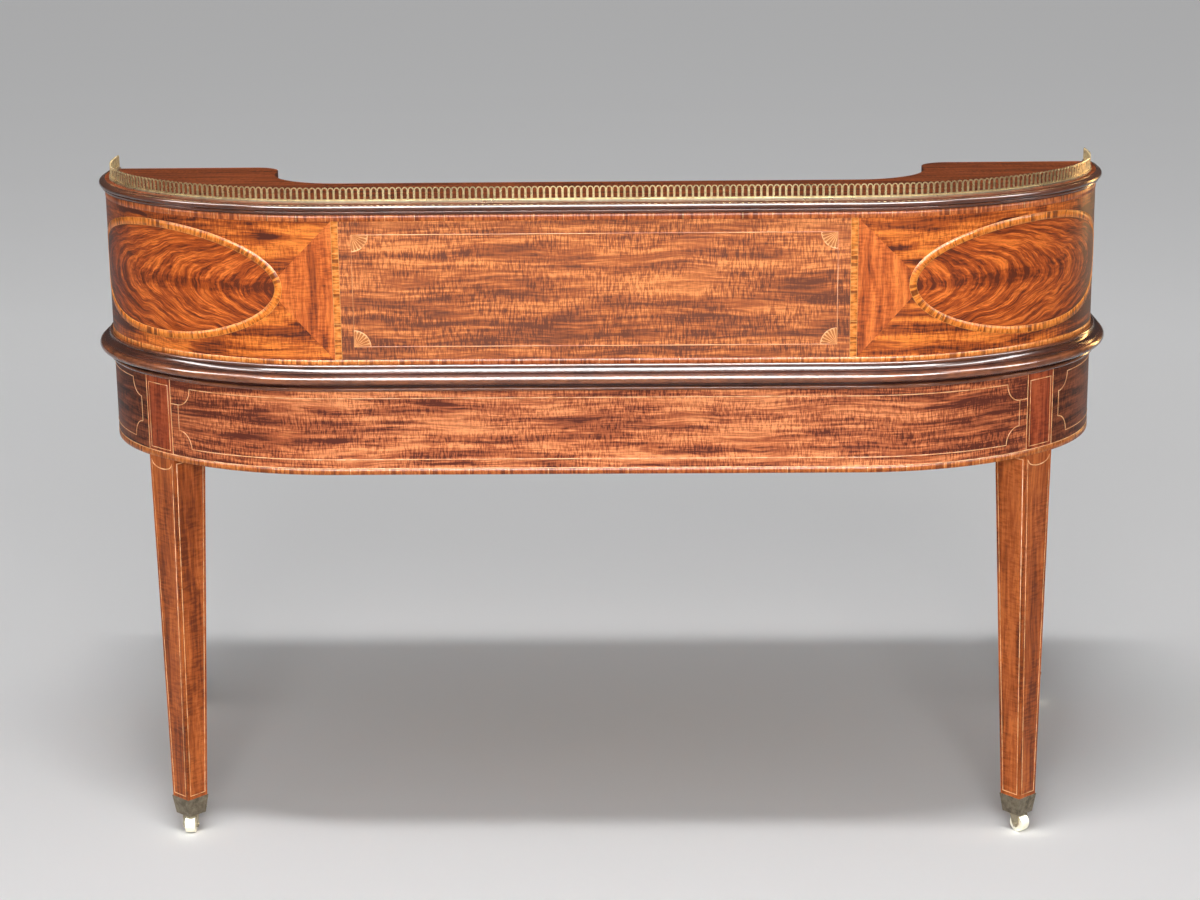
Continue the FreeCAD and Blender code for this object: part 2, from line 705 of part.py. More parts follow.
def drawer_box(x0, x1, y0, y1, z0, z1, wall, bottom, lift):
    """Two sides, back and bottom of a drawer, as separate boards."""
    floor_bottom = z0 + lift
    floor_top = floor_bottom + bottom
    return Part.makeCompound([
        block(x0, x0 + wall, y0, y1, z0, z1),
        block(x1 - wall, x1, y0, y1, z0, z1),
        block(x0 + wall, x1 - wall, y0, y1, floor_bottom, floor_top),
        block(x0 + wall, x1 - wall, y1 - wall, y1, floor_top, z1),
    ])


def frieze_openings():
    """Left and right limits of the three drawer openings in the frieze."""
    half = CENTRE_OPENING_WIDTH / 2.0
    outer = half + DIVIDER_WIDTH
    return {"centre": (-half, half), "right": (outer, POST_INNER), "left": (-POST_INNER, -outer)}


def build_frieze_drawers(nodes):
    """Three frieze drawers: front, box and a pair of knobs each."""
    front_back = FRONT_Y + DRAWER_FRONT_THICKNESS
    for name, (x0, x1) in frieze_openings().items():
        nodes[f"drawer_front_{name}"] = block(
            x0 + DRAWER_FRONT_GAP, x1 - DRAWER_FRONT_GAP, FRONT_Y, front_back,
            RUNNER_TOP + DRAWER_FRONT_GAP, OPENING_TOP - DRAWER_FRONT_GAP,
        )
        nodes[f"drawer_box_{name}"] = drawer_box(
            x0 + DRAWER_SIDE_GAP, x1 - DRAWER_SIDE_GAP, front_back, FRONT_Y + DRAWER_LENGTH,
            RUNNER_TOP + FITTING_GAP, OPENING_TOP - DRAWER_TOP_GAP,
            DRAWER_WALL, DRAWER_BOTTOM_THICKNESS, DRAWER_BOTTOM_LIFT,
        )
        level = (RUNNER_TOP + OPENING_TOP) / 2.0
        knobs = []
        for x in (x0 + DRAWER_KNOB_INSET, x1 - DRAWER_KNOB_INSET):
            knobs.append(knob(1.0, Vector(x, FRONT_Y, level), Vector(0, -1, 0)))
        nodes[f"drawer_knobs_{name}"] = Part.makeCompound(knobs)


def build_board(nodes):
    """Writing board, its leather panel and the waist moulding."""
    leather_half = WING_INNER - LEATHER_SIDE_MARGIN
    leather_front = FRONT_Y + LEATHER_FRONT_MARGIN
    leather_back = BANK_FRONT - LEATHER_BACK_MARGIN
    leather = block(
        -leather_half, leather_half, leather_front, leather_back,
        BOARD_TOP - LEATHER_THICKNESS, BOARD_TOP,
    )
    nodes["writing_board"] = raised(body_plan(0.0, FRONT_Y), FRIEZE_TOP, BOARD_TOP).cut(leather)
    nodes["writing_leather"] = leather
    nodes["waist_moulding"] = waist_moulding()


def slope_level(y):
    """Height of the sloping wing tops at a place between the carcase and the wing front."""
    low = BOARD_TOP + WING_FRONT_HEIGHT
    return low + (CARCASE_TOP - low) * (y - WING_FRONT) / (TOP_END_Y - WING_FRONT)


def slope_angle():
    """Slope of the wing tops below the level, in radians."""
    return math.atan2(slope_level(TOP_END_Y) - slope_level(WING_FRONT), TOP_END_Y - WING_FRONT)


def wing_panel(x0, x1, back):
    """Upright side wall of a wing, sloping down to the front."""
    corners = [Vector(x0, back, BOARD_TOP), Vector(x0, back, CARCASE_TOP)]
    if back > TOP_END_Y:
        corners.append(Vector(x0, TOP_END_Y, CARCASE_TOP))
    corners += [
        Vector(x0, WING_FRONT, slope_level(WING_FRONT)),
        Vector(x0, WING_FRONT, BOARD_TOP),
    ]
    return polygon(corners).extrude(Vector(x1 - x0, 0, 0))


def lid_axis():
    """Point in side view on the lid's hinge axis, a half thickness from its rounded edge."""
    half = LID_THICKNESS / 2.0
    y = TOP_END_Y - FITTING_GAP - half
    return Vector(0, y, slope_level(y) - half / math.cos(slope_angle()))


def lid_pin(x0, x1):
    """Hinge pin of a wing lid between two places along its axis."""
    axis = lid_axis()
    return Part.makeCylinder(
        LID_PIN_DIAMETER / 2.0, x1 - x0, Vector(x0, axis.y, axis.z), Vector(1, 0, 0)
    )


def lid_pins():
    """The two pins of the right-hand lid, from the wing's walls into the lid."""
    lid_left = WING_INSIDE + LID_SIDE_GAP
    lid_right = WING_OUTSIDE - LID_SIDE_GAP
    return [
        lid_pin(WING_INSIDE - LID_PIN_INTO_WALL, lid_left + LID_PIN_INTO_LID),
        lid_pin(lid_right - LID_PIN_INTO_LID, WING_OUTSIDE + LID_PIN_INTO_WALL),
    ]


def wing_lid():
    """Right-hand sloping lid, rounded and bored at its hinge edge, with a lip at the front."""
    half = LID_THICKNESS / 2.0
    axis = lid_axis()
    angle = slope_angle()
    along = Vector(0, -math.cos(angle), -math.sin(angle))
    up = Vector(0, -math.sin(angle), math.cos(angle))
    length = (axis.y - WING_FRONT + LID_LIP) / math.cos(angle)
    x0 = WING_INSIDE + LID_SIDE_GAP
    x1 = WING_OUTSIDE - LID_SIDE_GAP
    start = Vector(x0, axis.y, axis.z)
    far = start + along * length
    edges = [
        line(start + up * half, far + up * half),
        line(far + up * half, far - up * half),
        line(far - up * half, start - up * half),
        Part.Arc(start - up * half, start - along * half, start + up * half).toShape(),
    ]
    lid = Part.Face(Part.Wire(edges)).extrude(Vector(x1 - x0, 0, 0))
    hole = LID_PIN_DIAMETER / 2.0 + RUNNING_CLEARANCE
    for place in (x0, x1 - LID_PIN_INTO_LID - FITTING_GAP):
        lid = lid.cut(
            Part.makeCylinder(
                hole, LID_PIN_INTO_LID + FITTING_GAP, Vector(place, axis.y, axis.z), Vector(1, 0, 0)
            )
        )
    return lid


def wing_front():
    """Low front wall of the right-hand wing, bevelled to carry the lid."""
    drop = LID_THICKNESS / math.cos(slope_angle()) + FITTING_GAP
    back = WING_FRONT + WING_FRONT_THICKNESS
    corners = [
        Vector(WING_INSIDE, WING_FRONT, BOARD_TOP),
        Vector(WING_INSIDE, WING_FRONT, slope_level(WING_FRONT) - drop),
        Vector(WING_INSIDE, back, slope_level(back) - drop),
        Vector(WING_INSIDE, back, BOARD_TOP),
    ]
    return polygon(corners).extrude(Vector(WING_OUTSIDE - WING_INSIDE, 0, 0))


def build_wings(nodes):
    """Rounded carcase ends, wing walls, bulkheads, fronts, lids and their pins."""
    pins = lid_pins()
    outer_wall = wing_panel(WING_OUTSIDE, HALF_WIDTH, SIDE_Y)
    inner_wall = wing_panel(WING_INNER, WING_INSIDE, DOOR_CENTRE.y)
    for pin in pins:
        outer_wall = outer_wall.cut(pin)
        inner_wall = inner_wall.cut(pin)
    ends = corner_staves(0.0, CARCASE_WALL, BOARD_TOP, CARCASE_TOP, CORNER_STAVES) + [outer_wall]
    bulkhead = block(
        WING_INSIDE, HALF_WIDTH, TOP_END_Y, TOP_END_Y + BULKHEAD_THICKNESS, BOARD_TOP, CARCASE_TOP
    ).common(raised(body_plan(CARCASE_WALL, FRONT_Y), BOARD_TOP, CARCASE_TOP))
    lid = wing_lid()
    front = wing_front()
    inner_walls = []
    bulkheads = []
    fronts = []
    hinge_pins = []
    for side, sign in SIDES.items():
        nodes[f"carcase_end_{side}"] = Part.makeCompound([on_side(piece, sign) for piece in ends])
        nodes[f"wing_lid_{side}"] = on_side(lid, sign)
        inner_walls.append(on_side(inner_wall, sign))
        bulkheads.append(on_side(bulkhead, sign))
        fronts.append(on_side(front, sign))
        hinge_pins += [on_side(pin, sign) for pin in pins]
    nodes["wing_inner_walls"] = Part.makeCompound(inner_walls)
    nodes["wing_bulkheads"] = Part.makeCompound(bulkheads)
    nodes["wing_fronts"] = Part.makeCompound(fronts)
    nodes["lid_hinge_pins"] = Part.makeCompound(hinge_pins)


def bay_limits():
    """Left and right limits of the bays in the bank."""
    inside = BANK_HALF_WIDTH - BANK_WALL
    width = (2.0 * inside - (BANK_BAYS - 1) * BANK_INNER_WALL) / BANK_BAYS
    limits = []
    for index in range(BANK_BAYS):
        left = -inside + index * (width + BANK_INNER_WALL)
        limits.append((left, left + width))
    return limits


def build_bank(nodes):
    """Back panel, uprights and shelf of the bank between the corner cupboards."""
    inner_back = BACK_Y - CARCASE_WALL
    nodes["carcase_back"] = block(-BACK_HALF, BACK_HALF, inner_back, BACK_Y, BOARD_TOP, CARCASE_TOP)
    inside = BANK_HALF_WIDTH - BANK_WALL
    end = block(inside, BANK_HALF_WIDTH, BANK_FRONT, inner_back, BOARD_TOP, CARCASE_TOP)
    end = end.common(raised(body_plan(CARCASE_WALL, FRONT_Y), BOARD_TOP, CARCASE_TOP))
    uprights = [on_side(end, sign) for sign in SIDES.values()]
    for _, right in bay_limits()[:-1]:
        for z0, z1 in ((BOARD_TOP, SHELF_BOTTOM), (SHELF_TOP, CARCASE_TOP)):
            uprights.append(block(right, right + BANK_INNER_WALL, BANK_FRONT, inner_back, z0, z1))
    nodes["bank_uprights"] = Part.makeCompound(uprights)
    nodes["bank_shelf"] = block(
        -inside, inside, BANK_FRONT + BANK_SHELF_SETBACK, inner_back, SHELF_BOTTOM, SHELF_TOP
    )


def build_small_drawers(nodes):
    """Small drawers under the pigeonholes, each with one knob."""
    y1 = BACK_Y - CARCASE_WALL - SMALL_BACK_GAP
    front_back = BANK_FRONT + SMALL_FRONT_THICKNESS
    for index, (left, right) in enumerate(bay_limits()):
        x0 = left + SMALL_FRONT_GAP
        x1 = right - SMALL_FRONT_GAP
        z0 = BOARD_TOP + FITTING_GAP
        front = block(x0, x1, BANK_FRONT, front_back, z0, SHELF_BOTTOM - SMALL_FRONT_GAP)
        box = drawer_box(
            x0, x1, front_back, y1, z0, SHELF_BOTTOM - SMALL_TOP_GAP,
            SMALL_WALL, SMALL_BOTTOM_THICKNESS, SMALL_BOTTOM_LIFT,
        )
        nodes[f"small_drawer_{index + 1}"] = Part.makeCompound([front] + box.Solids)
        middle = Vector((x0 + x1) / 2.0, BANK_FRONT, (z0 + SHELF_BOTTOM) / 2.0)
        nodes[f"small_knob_{index + 1}"] = knob(SMALL_KNOB_SCALE, middle, Vector(0, -1, 0))


def door_pivot():
    """Plan position of the right door's pivot, at the centre of its rounded hinge edge."""
    y = DOOR_CENTRE.y + CORNER_DOOR_EDGE_GAP + CORNER_DOOR_HINGE_ROUND
    radius = CORNER_DOOR_RADIUS + CORNER_DOOR_HINGE_ROUND
    x = DOOR_CENTRE.x + math.sqrt(radius ** 2 - (y - DOOR_CENTRE.y) ** 2)
    return Vector(x, y, 0)


def corner_door():
    """Right-hand concave door, its closing edge bevelled so that it swings clear of the bank."""
    pivot = door_pivot()
    z0 = BOARD_TOP + CORNER_DOOR_END_GAP
    z1 = CARCASE_TOP - CORNER_DOOR_END_GAP
    outer = CORNER_DOOR_RADIUS + CORNER_DOOR_THICKNESS
    door = sector(DOOR_CENTRE, CORNER_DOOR_RADIUS, outer, 0.0, 90.0, z0, z1)
    sill = DOOR_CENTRE.y + CORNER_DOOR_EDGE_GAP
    hinge_strip = block(
        DOOR_CENTRE.x, DOOR_CENTRE.x + 2.0 * outer, sill - outer, sill, z0, z1
    )
    closing = Vector(BANK_HALF_WIDTH, BANK_FRONT, 0)
    swing = (closing - pivot).Length - CORNER_DOOR_EDGE_GAP
    reach = Part.makeCylinder(swing, z1 - z0, Vector(pivot.x, pivot.y, z0))
    door = door.cut(hinge_strip).common(reach)
    square = block(DOOR_CENTRE.x, pivot.x, sill, pivot.y, z0, z1)
    round_edge = Part.makeCylinder(CORNER_DOOR_HINGE_ROUND, z1 - z0, Vector(pivot.x, pivot.y, z0))
    door = door.cut(square.cut(round_edge))
    hole = PIVOT_DIAMETER / 2.0 + RUNNING_CLEARANCE
    depth = PIVOT_LENGTH + FITTING_GAP
    for level in (z0, z1 - depth):
        door = door.cut(Part.makeCylinder(hole, depth, Vector(pivot.x, pivot.y, level)))
    return door


def door_pivots():
    """Pivot plates with their pins, on the writing board and under the top, for the right door."""
    pivot = door_pivot()
    half = PIVOT_PLATE_WIDTH / 2.0
    thick = CORNER_DOOR_END_GAP - FITTING_GAP
    lower = block(
        pivot.x - half, pivot.x + half, pivot.y - half, pivot.y + half, BOARD_TOP, BOARD_TOP + thick
    )
    height = CORNER_DOOR_END_GAP + PIVOT_LENGTH
    pin = Part.makeCylinder(PIVOT_DIAMETER / 2.0, height, Vector(pivot.x, pivot.y, BOARD_TOP))
    lower = lower.fuse(pin).removeSplitter()
    middle = Vector(0, 0, (BOARD_TOP + CARCASE_TOP) / 2.0)
    return [lower, lower.mirror(middle, Vector(0, 0, 1))]


def build_doors(nodes):
    """Concave corner doors with their knobs and pivots."""
    door = corner_door()
    facing = polar(Vector(0, 0, 0), 1.0, CORNER_DOOR_KNOB_DEG)
    level = Vector(0, 0, (BOARD_TOP + CARCASE_TOP) / 2.0)
    seat = polar(DOOR_CENTRE, CORNER_DOOR_RADIUS + CORNER_DOOR_KNOB_SINK, CORNER_DOOR_KNOB_DEG) + level
    door_knob = knob(SMALL_KNOB_SCALE, seat, facing.negative())
    face = Part.makeCylinder(CORNER_DOOR_RADIUS, CARCASE_HEIGHT, DOOR_CENTRE + Vector(0, 0, BOARD_TOP))
    door_knob = door_knob.common(face)
    pivots = []
    for side, sign in SIDES.items():
        nodes[f"corner_door_{side}"] = on_side(door, sign)
        nodes[f"corner_door_knob_{side}"] = on_side(door_knob, sign)
        pivots += [on_side(piece, sign) for piece in door_pivots()]
    nodes["corner_door_pivots"] = Part.makeCompound(pivots)


def top_wing():
    """Right-hand corner and wing of the top, with a nosing over the door and a rounded tip."""
    inner_radius = CORNER_DOOR_RADIUS - TOP_NOSING
    inner_x = WING_INNER - TOP_NOSING
    tip_centre = Vector(inner_x + WING_CORNER_ROUND, TOP_END_Y + WING_CORNER_ROUND, 0)
    tip_start = Vector(inner_x, TOP_END_Y + WING_CORNER_ROUND, 0)
    tip_end = Vector(inner_x + WING_CORNER_ROUND, TOP_END_Y, 0)
    split = polar(BACK_CENTRE, BACK_CORNER_RADIUS, REAR_LEG_FACING_DEG)
    mitre = polar(DOOR_CENTRE, inner_radius, CORNER_SPLIT_DEG)
    seam_x = BANK_HALF_WIDTH
    seam_angle = math.degrees(math.acos((seam_x - BACK_CENTRE.x) / BACK_CORNER_RADIUS))
    seam_y = polar(BACK_CENTRE, BACK_CORNER_RADIUS, seam_angle).y
    corner = Part.Face(Part.Wire([
        plan_arc(BACK_CENTRE, BACK_CORNER_RADIUS, seam_angle, REAR_LEG_FACING_DEG),
        line(split, mitre),
        plan_arc(DOOR_CENTRE, inner_radius, CORNER_SPLIT_DEG, 90.0),
        line(polar(DOOR_CENTRE, inner_radius, 90.0), Vector(seam_x, seam_y, 0)),
    ]))
    wing = Part.Face(Part.Wire([
        plan_arc(BACK_CENTRE, BACK_CORNER_RADIUS, REAR_LEG_FACING_DEG, CORNER_SPLIT_DEG),
        plan_arc(SIDE_CENTRE, SIDE_CORNER_RADIUS, CORNER_SPLIT_DEG, 0.0),
        line(Vector(HALF_WIDTH, SIDE_Y, 0), Vector(HALF_WIDTH, TOP_END_Y, 0)),
        line(Vector(HALF_WIDTH, TOP_END_Y, 0), tip_end),
        plan_arc(tip_centre, WING_CORNER_ROUND, 270.0, 180.0),
        line(tip_start, polar(DOOR_CENTRE, inner_radius, 0.0)),
        plan_arc(DOOR_CENTRE, inner_radius, 0.0, CORNER_SPLIT_DEG),
        line(mitre, split),
    ]))
    return [raised(face, CARCASE_TOP, TOP_FACE) for face in (corner, wing)]


def build_top(nodes):
    """Flat top of the upper carcase in five boards, and the moulding round it."""
    centre = block(
        -BANK_HALF_WIDTH, BANK_HALF_WIDTH, BANK_FRONT - TOP_NOSING, BACK_Y, CARCASE_TOP, TOP_FACE
    ).common(raised(body_plan(0.0, FRONT_Y), CARCASE_TOP, TOP_FACE))
    boards = [centre]
    for sign in SIDES.values():
        boards += [on_side(board, sign) for board in top_wing()]
    nodes["top_boards"] = Part.makeCompound(boards)
    nodes["top_moulding"] = top_moulding()


def slot_heights():
    """Sill, springing and crown of a gallery slot above the top of its rail."""
    half = GALLERY_SLOT_WIDTH / 2.0
    crown = GALLERY_HEIGHT - GALLERY_ARCH_CROWN
    return GALLERY_SLOT_SILL, crown - half, crown


def slot_wire(middle):
    """Arch-topped slot in the plane x, z."""
    half = GALLERY_SLOT_WIDTH / 2.0
    sill, spring, crown = slot_heights()
    corners = [(middle - half, spring), (middle - half, sill)]
    corners += [(middle + half, sill), (middle + half, spring)]
    points = [Vector(x, 0, RAIL_TOP + z) for x, z in corners]
    edges = [line(points[i], points[i + 1]) for i in range(3)]
    edges.append(Part.Arc(points[3], Vector(middle, 0, RAIL_TOP + crown), points[0]).toShape())
    return Part.Wire(edges)


def gallery_straight(length):
    """Straight pierced strip centred on x = 0, its outer face on y = 0."""
    count = int(length / GALLERY_PITCH)
    half = length / 2.0
    tip = RAIL_TOP + GALLERY_HEIGHT
    corners = [Vector(-half, 0, RAIL_TOP), Vector(half, 0, RAIL_TOP)]
    corners += [Vector(half, 0, tip), Vector(-half, 0, tip)]
    outline = Part.makePolygon(corners + corners[:1])
    slots = [slot_wire((index - (count - 1) / 2.0) * GALLERY_PITCH) for index in range(count)]
    return Part.Face([outline] + slots).extrude(Vector(0, -GALLERY_WALL, 0))


def gallery_stave(centre, radius, start, end):
    """Curved pierced strip between two angles."""
    outer = radius - GALLERY_INSET
    inner = outer - GALLERY_WALL
    strip = sector(centre, inner, outer, start, end, RAIL_TOP, RAIL_TOP + GALLERY_HEIGHT)
    length = math.radians(end - start) * outer
    count = int(length / GALLERY_PITCH)
    step = math.degrees(GALLERY_PITCH / outer)
    middle = (start + end) / 2.0
    cutters = []
    for index in range(count):
        angle = middle + (index - (count - 1) / 2.0) * step
        cutter = Part.Face(slot_wire(0.0)).extrude(Vector(0, 3.0 * GALLERY_WALL, 0))
        cutter.translate(Vector(0, outer - 2.0 * GALLERY_WALL, 0))
        cutter.rotate(Vector(0, 0, 0), Vector(0, 0, 1), angle - 90.0)
        cutter.translate(centre)
        cutters.append(cutter)
    return strip.cut(cutters)


def build_gallery(nodes):
    """Pierced brass gallery and the rail that it stands on."""
    back_strip = gallery_straight(2.0 * BACK_HALF)
    back_strip.translate(Vector(0, BACK_Y - GALLERY_INSET, 0))
    strips = [back_strip]
    rail_inset = GALLERY_INSET - (GALLERY_RAIL_WIDTH - GALLERY_WALL) / 2.0
    rail_x = HALF_WIDTH - rail_inset
    rail_y = BACK_Y - rail_inset
    rails = [block(-BACK_HALF, BACK_HALF, rail_y - GALLERY_RAIL_WIDTH, rail_y, TOP_FACE, RAIL_TOP)]
    side_strip = gallery_straight(TOP_SIDE_RUN)
    side_strip.rotate(Vector(0, 0, 0), Vector(0, 0, 1), -90.0)
    side_strip.translate(Vector(HALF_WIDTH - GALLERY_INSET, (SIDE_Y + TOP_END_Y) / 2.0, 0))
    right_strips = [side_strip]
    for centre, radius, start, end in corner_arcs():
        step = (end - start) / CORNER_STAVES
        for index in range(CORNER_STAVES):
            first = start + index * step
            right_strips.append(gallery_stave(centre, radius, first, first + step))
    right_rails = corner_staves(rail_inset, GALLERY_RAIL_WIDTH, TOP_FACE, RAIL_TOP, CORNER_STAVES)
    right_rails.append(
        block(rail_x - GALLERY_RAIL_WIDTH, rail_x, TOP_END_Y, SIDE_Y, TOP_FACE, RAIL_TOP)
    )
    for sign in SIDES.values():
        strips += [on_side(strip, sign) for strip in right_strips]
        rails += [on_side(rail, sign) for rail in right_rails]
    nodes["gallery"] = Part.makeCompound(strips)
    nodes["gallery_rail"] = Part.makeCompound(rails)


def build():
    """All pieces of the desk by node name."""
    nodes = {}
    build_legs(nodes)
    build_frieze(nodes)
    build_drawer_frame(nodes)
    build_frieze_drawers(nodes)
    build_board(nodes)
    build_wings(nodes)
    build_bank(nodes)
    build_small_drawers(nodes)
    build_doors(nodes)
    build_top(nodes)
    build_gallery(nodes)
    return nodes


os.makedirs("parts", exist_ok=True)
for node_name, shape in build().items():
    shape.exportStep(os.path.join("parts", f"{node_name}.step"))
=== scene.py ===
"""Looks of a D-shaped mahogany writing desk with a brass gallery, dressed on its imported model."""

import logging
import math
from collections.abc import Iterable, Sequence
from dataclasses import dataclass, field, replace
from enum import Enum
from functools import cache

import bmesh
import bpy
from mathutils import Matrix, Vector


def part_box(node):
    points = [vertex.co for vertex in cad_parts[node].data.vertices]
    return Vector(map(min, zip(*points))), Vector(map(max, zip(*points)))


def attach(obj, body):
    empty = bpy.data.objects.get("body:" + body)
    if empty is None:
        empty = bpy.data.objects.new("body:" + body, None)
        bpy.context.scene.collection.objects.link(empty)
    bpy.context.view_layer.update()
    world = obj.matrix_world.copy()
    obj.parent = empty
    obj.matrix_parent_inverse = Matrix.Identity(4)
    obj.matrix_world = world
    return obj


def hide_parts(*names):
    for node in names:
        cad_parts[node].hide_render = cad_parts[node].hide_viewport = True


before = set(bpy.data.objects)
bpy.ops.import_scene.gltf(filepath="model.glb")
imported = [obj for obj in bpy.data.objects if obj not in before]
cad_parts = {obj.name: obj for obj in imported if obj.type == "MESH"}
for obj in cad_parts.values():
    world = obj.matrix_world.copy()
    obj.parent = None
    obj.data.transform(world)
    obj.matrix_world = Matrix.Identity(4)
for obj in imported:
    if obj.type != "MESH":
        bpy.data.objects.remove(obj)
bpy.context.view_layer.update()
log = logging.getLogger("desk")

Colour = tuple[float, float, float]
Place = tuple[float, float, float]
FlatPoint = tuple[float, float]
Socket = bpy.types.NodeSocket
FLOAT, VECTOR, WHOLE = "NodeSocketFloat", "NodeSocketVector", "NodeSocketInt"
OBJECT, MATERIAL = "NodeSocketObject", "NodeSocketMaterial"
ROOT_BODY = "desk"
ENDS = (1, -1)
HANDS = ("right", "left")
WHITE = (1.0, 1.0, 1.0)
AMBER = (1.0, 0.55, 0.20)


class Source(Enum):
    """Where a material reads its place from."""

    SURFACE = "UV"
    OBJECT = "Object"


class Grain(Enum):
    """Axes of a place that become along, across and depth of the grain."""

    ALONG_X_ACROSS_Y = (0, 1, 2)
    ALONG_X_ACROSS_Z = (0, 2, 1)
    ALONG_Y_ACROSS_X = (1, 0, 2)
    ALONG_Y_ACROSS_Z = (1, 2, 0)
    ALONG_Z_ACROSS_X = (2, 0, 1)
    DOWN_A_SLOPE = (1, 0, 0)


class Row(Enum):
    """Row that a leg stands in."""

    REAR = "rear"
    FRONT = "front"


def opaque(colour: Colour) -> tuple[float, float, float, float]:
    """Colour with full alpha."""
    return (*colour, 1.0)


def even(scale: float) -> Place:
    """The same scale along all three axes."""
    return (scale, scale, scale)


def rectangle(left: float, right: float, low: float, high: float) -> list[FlatPoint]:
    """Corners of an upright rectangle, in order round it."""
    return [(left, low), (right, low), (right, high), (left, high)]


def middle(points: Sequence[Vector]) -> Vector:
    """Point midway between some points."""
    return sum(points, Vector()) / len(points)


@dataclass(frozen=True)
class Layer:
    """Noise that draws one kind of mark: its scale, the span of it that is kept, and how far it sways."""

    scale: Place
    span: FlatPoint | None = None
    detail: float = 2.0
    roughness: float = 0.5
    distortion: float = 0.0
    reach: float = 1.0


class Graph:
    """Adds and links the nodes of one shader or geometry tree."""

    def __init__(self, tree: bpy.types.NodeTree) -> None:
        """Start with an existing tree."""
        self.tree = tree

    def feed(self, socket: Socket, value: object) -> None:
        """Link a socket to an input, or set the input's constant.

        Args:
            socket: The input to feed.
            value: Another socket, or a constant of the input's kind.
        """
        if isinstance(value, Socket):
            self.tree.links.new(value, socket)
        else:
            socket.default_value = value

    def node(self, kind: str, inputs: dict | None = None, **settings: object) -> bpy.types.Node:
        """Add one node.

        Args:
            kind: Blender's name of the node type.
            inputs: Values or sockets by input name or index.
            settings: Properties of the node.

        Returns:
            The new node.
        """
        made = self.tree.nodes.new(kind)
        for key, value in settings.items():
            setattr(made, key, value)
        for key, value in (inputs or {}).items():
            self.feed(made.inputs[key], value)
        return made

    def math(self, operation: str, first: object, second: object = 0.0) -> Socket:
        """Result of a Math node with up to two operands."""
        return self.node("ShaderNodeMath", {0: first, 1: second}, operation=operation).outputs[0]

    def plus(self, first: object, second: object) -> Socket:
        """Sum of two values."""
        return self.math("ADD", first, second)

    def minus(self, first: object, second: object) -> Socket:
        """Difference of two values."""
        return self.math("SUBTRACT", first, second)

    def times(self, first: object, second: object) -> Socket:
        """Product of two values."""
        return self.math("MULTIPLY", first, second)

    def between(self, share: object, low: float, high: float) -> Socket:
        """Value that runs from low to high with a share."""
        return self.plus(self.times(share, high - low), low)

    def spread(self, value: object, low: float, high: float) -> Socket:
        """Value stretched so that low becomes 0 and high becomes 1, held between them."""
        inputs = {"Value": value, "From Min": low, "From Max": high}
        return self.node("ShaderNodeMapRange", inputs, interpolation_type="SMOOTHSTEP").outputs[0]

    def mix(self, share: object, first: object, second: object, blend: str = "MIX") -> Socket:
        """Two colours mixed by a share."""
        inputs = {0: share, 6: first, 7: second}
        return self.node("ShaderNodeMix", inputs, data_type="RGBA", blend_type=blend).outputs[2]

    def parts(self, vector: object) -> list[Socket]:
        """The three parts of a vector."""
        return list(self.node("ShaderNodeSeparateXYZ", {0: vector}).outputs)

    def vector(self, x: object, y: object, z: object = 0.0) -> Socket:
        """Vector made of three parts."""
        return self.node("ShaderNodeCombineXYZ", {0: x, 1: y, 2: z}).outputs[0]

    def joined(self, operation: str, first: object, second: object) -> Socket:
        """Two vectors joined part by part."""
        return self.node("ShaderNodeVectorMath", {0: first, 1: second}, operation=operation).outputs[0]

    def layer(self, vector: object, layer: Layer) -> Socket:
        """Marks of a layer over a place.

        Args:
            vector: The place, in metres.
            layer: The noise that draws the marks.

        Returns:
            Strength of the marks, stretched over the layer's span if it has one.
        """
        inputs = {"Vector": self.joined("MULTIPLY", vector, layer.scale), "Scale": 1.0,
                  "Detail": layer.detail, "Roughness": layer.roughness, "Distortion": layer.distortion}
        noise = self.node("ShaderNodeTexNoise", inputs).outputs[0]
        return self.spread(noise, *layer.span) if layer.span else noise

    def sway(self, vector: object, layer: Layer) -> Socket:
        """Noise of a layer that swings to both sides of nothing."""
        return self.times(self.minus(self.layer(vector, layer), 0.5), layer.reach)

    def ramp(self, share: object, stops: Sequence[float], colours: Sequence[Colour]) -> Socket:
        """Colour looked up along a ramp.

        Args:
            share: Place along the ramp, from 0 to 1.
            stops: Places of the colours, in rising order.
            colours: The colour at each stop.

        Returns:
            The colour.
        """
        made = self.node("ShaderNodeValToRGB", {0: share})
        elements = made.color_ramp.elements
        for stop in stops[2:]:
            elements.new(stop)
        for element, stop, colour in zip(elements, stops, colours):
            element.position = stop
            element.color = opaque(colour)
        return made.outputs[0]

    def group(self, tree: bpy.types.NodeTree, inputs: dict) -> bpy.types.NodeOutputs:
        """Outputs of a shader group that is placed in this tree with its own values."""
        return self.node("ShaderNodeGroup", inputs, node_tree=tree).outputs

    def attribute(self, name: str) -> Socket:
        """Number that the mesh carries under a name."""
        return self.node("ShaderNodeAttribute", attribute_name=name).outputs["Fac"]

    def place(self, source: Source) -> Socket:
        """Place on the surface, in metres."""
        return self.node("ShaderNodeTexCoord").outputs[source.value]


def new_group(name: str, inputs: Sequence[tuple[str, str]], outputs: Sequence[tuple[str, str]]
              ) -> tuple[Graph, bpy.types.NodeOutputs, bpy.types.NodeInputs]:
    """Empty shader group with named sockets.

    Args:
        name: Name of the group.
        inputs: Names and kinds of its inputs.
        outputs: Names and kinds of its outputs.

    Returns:
        The group's graph, the sockets that its inputs come from and those that its outputs go to.
    """
    tree = bpy.data.node_groups.new(name, "ShaderNodeTree")
    for way, sockets in (("INPUT", inputs), ("OUTPUT", outputs)):
        for label, kind in sockets:
            tree.interface.new_socket(name=label, in_out=way, socket_type=kind)
    graph = Graph(tree)
    return graph, graph.node("NodeGroupInput").outputs, graph.node("NodeGroupOutput").inputs


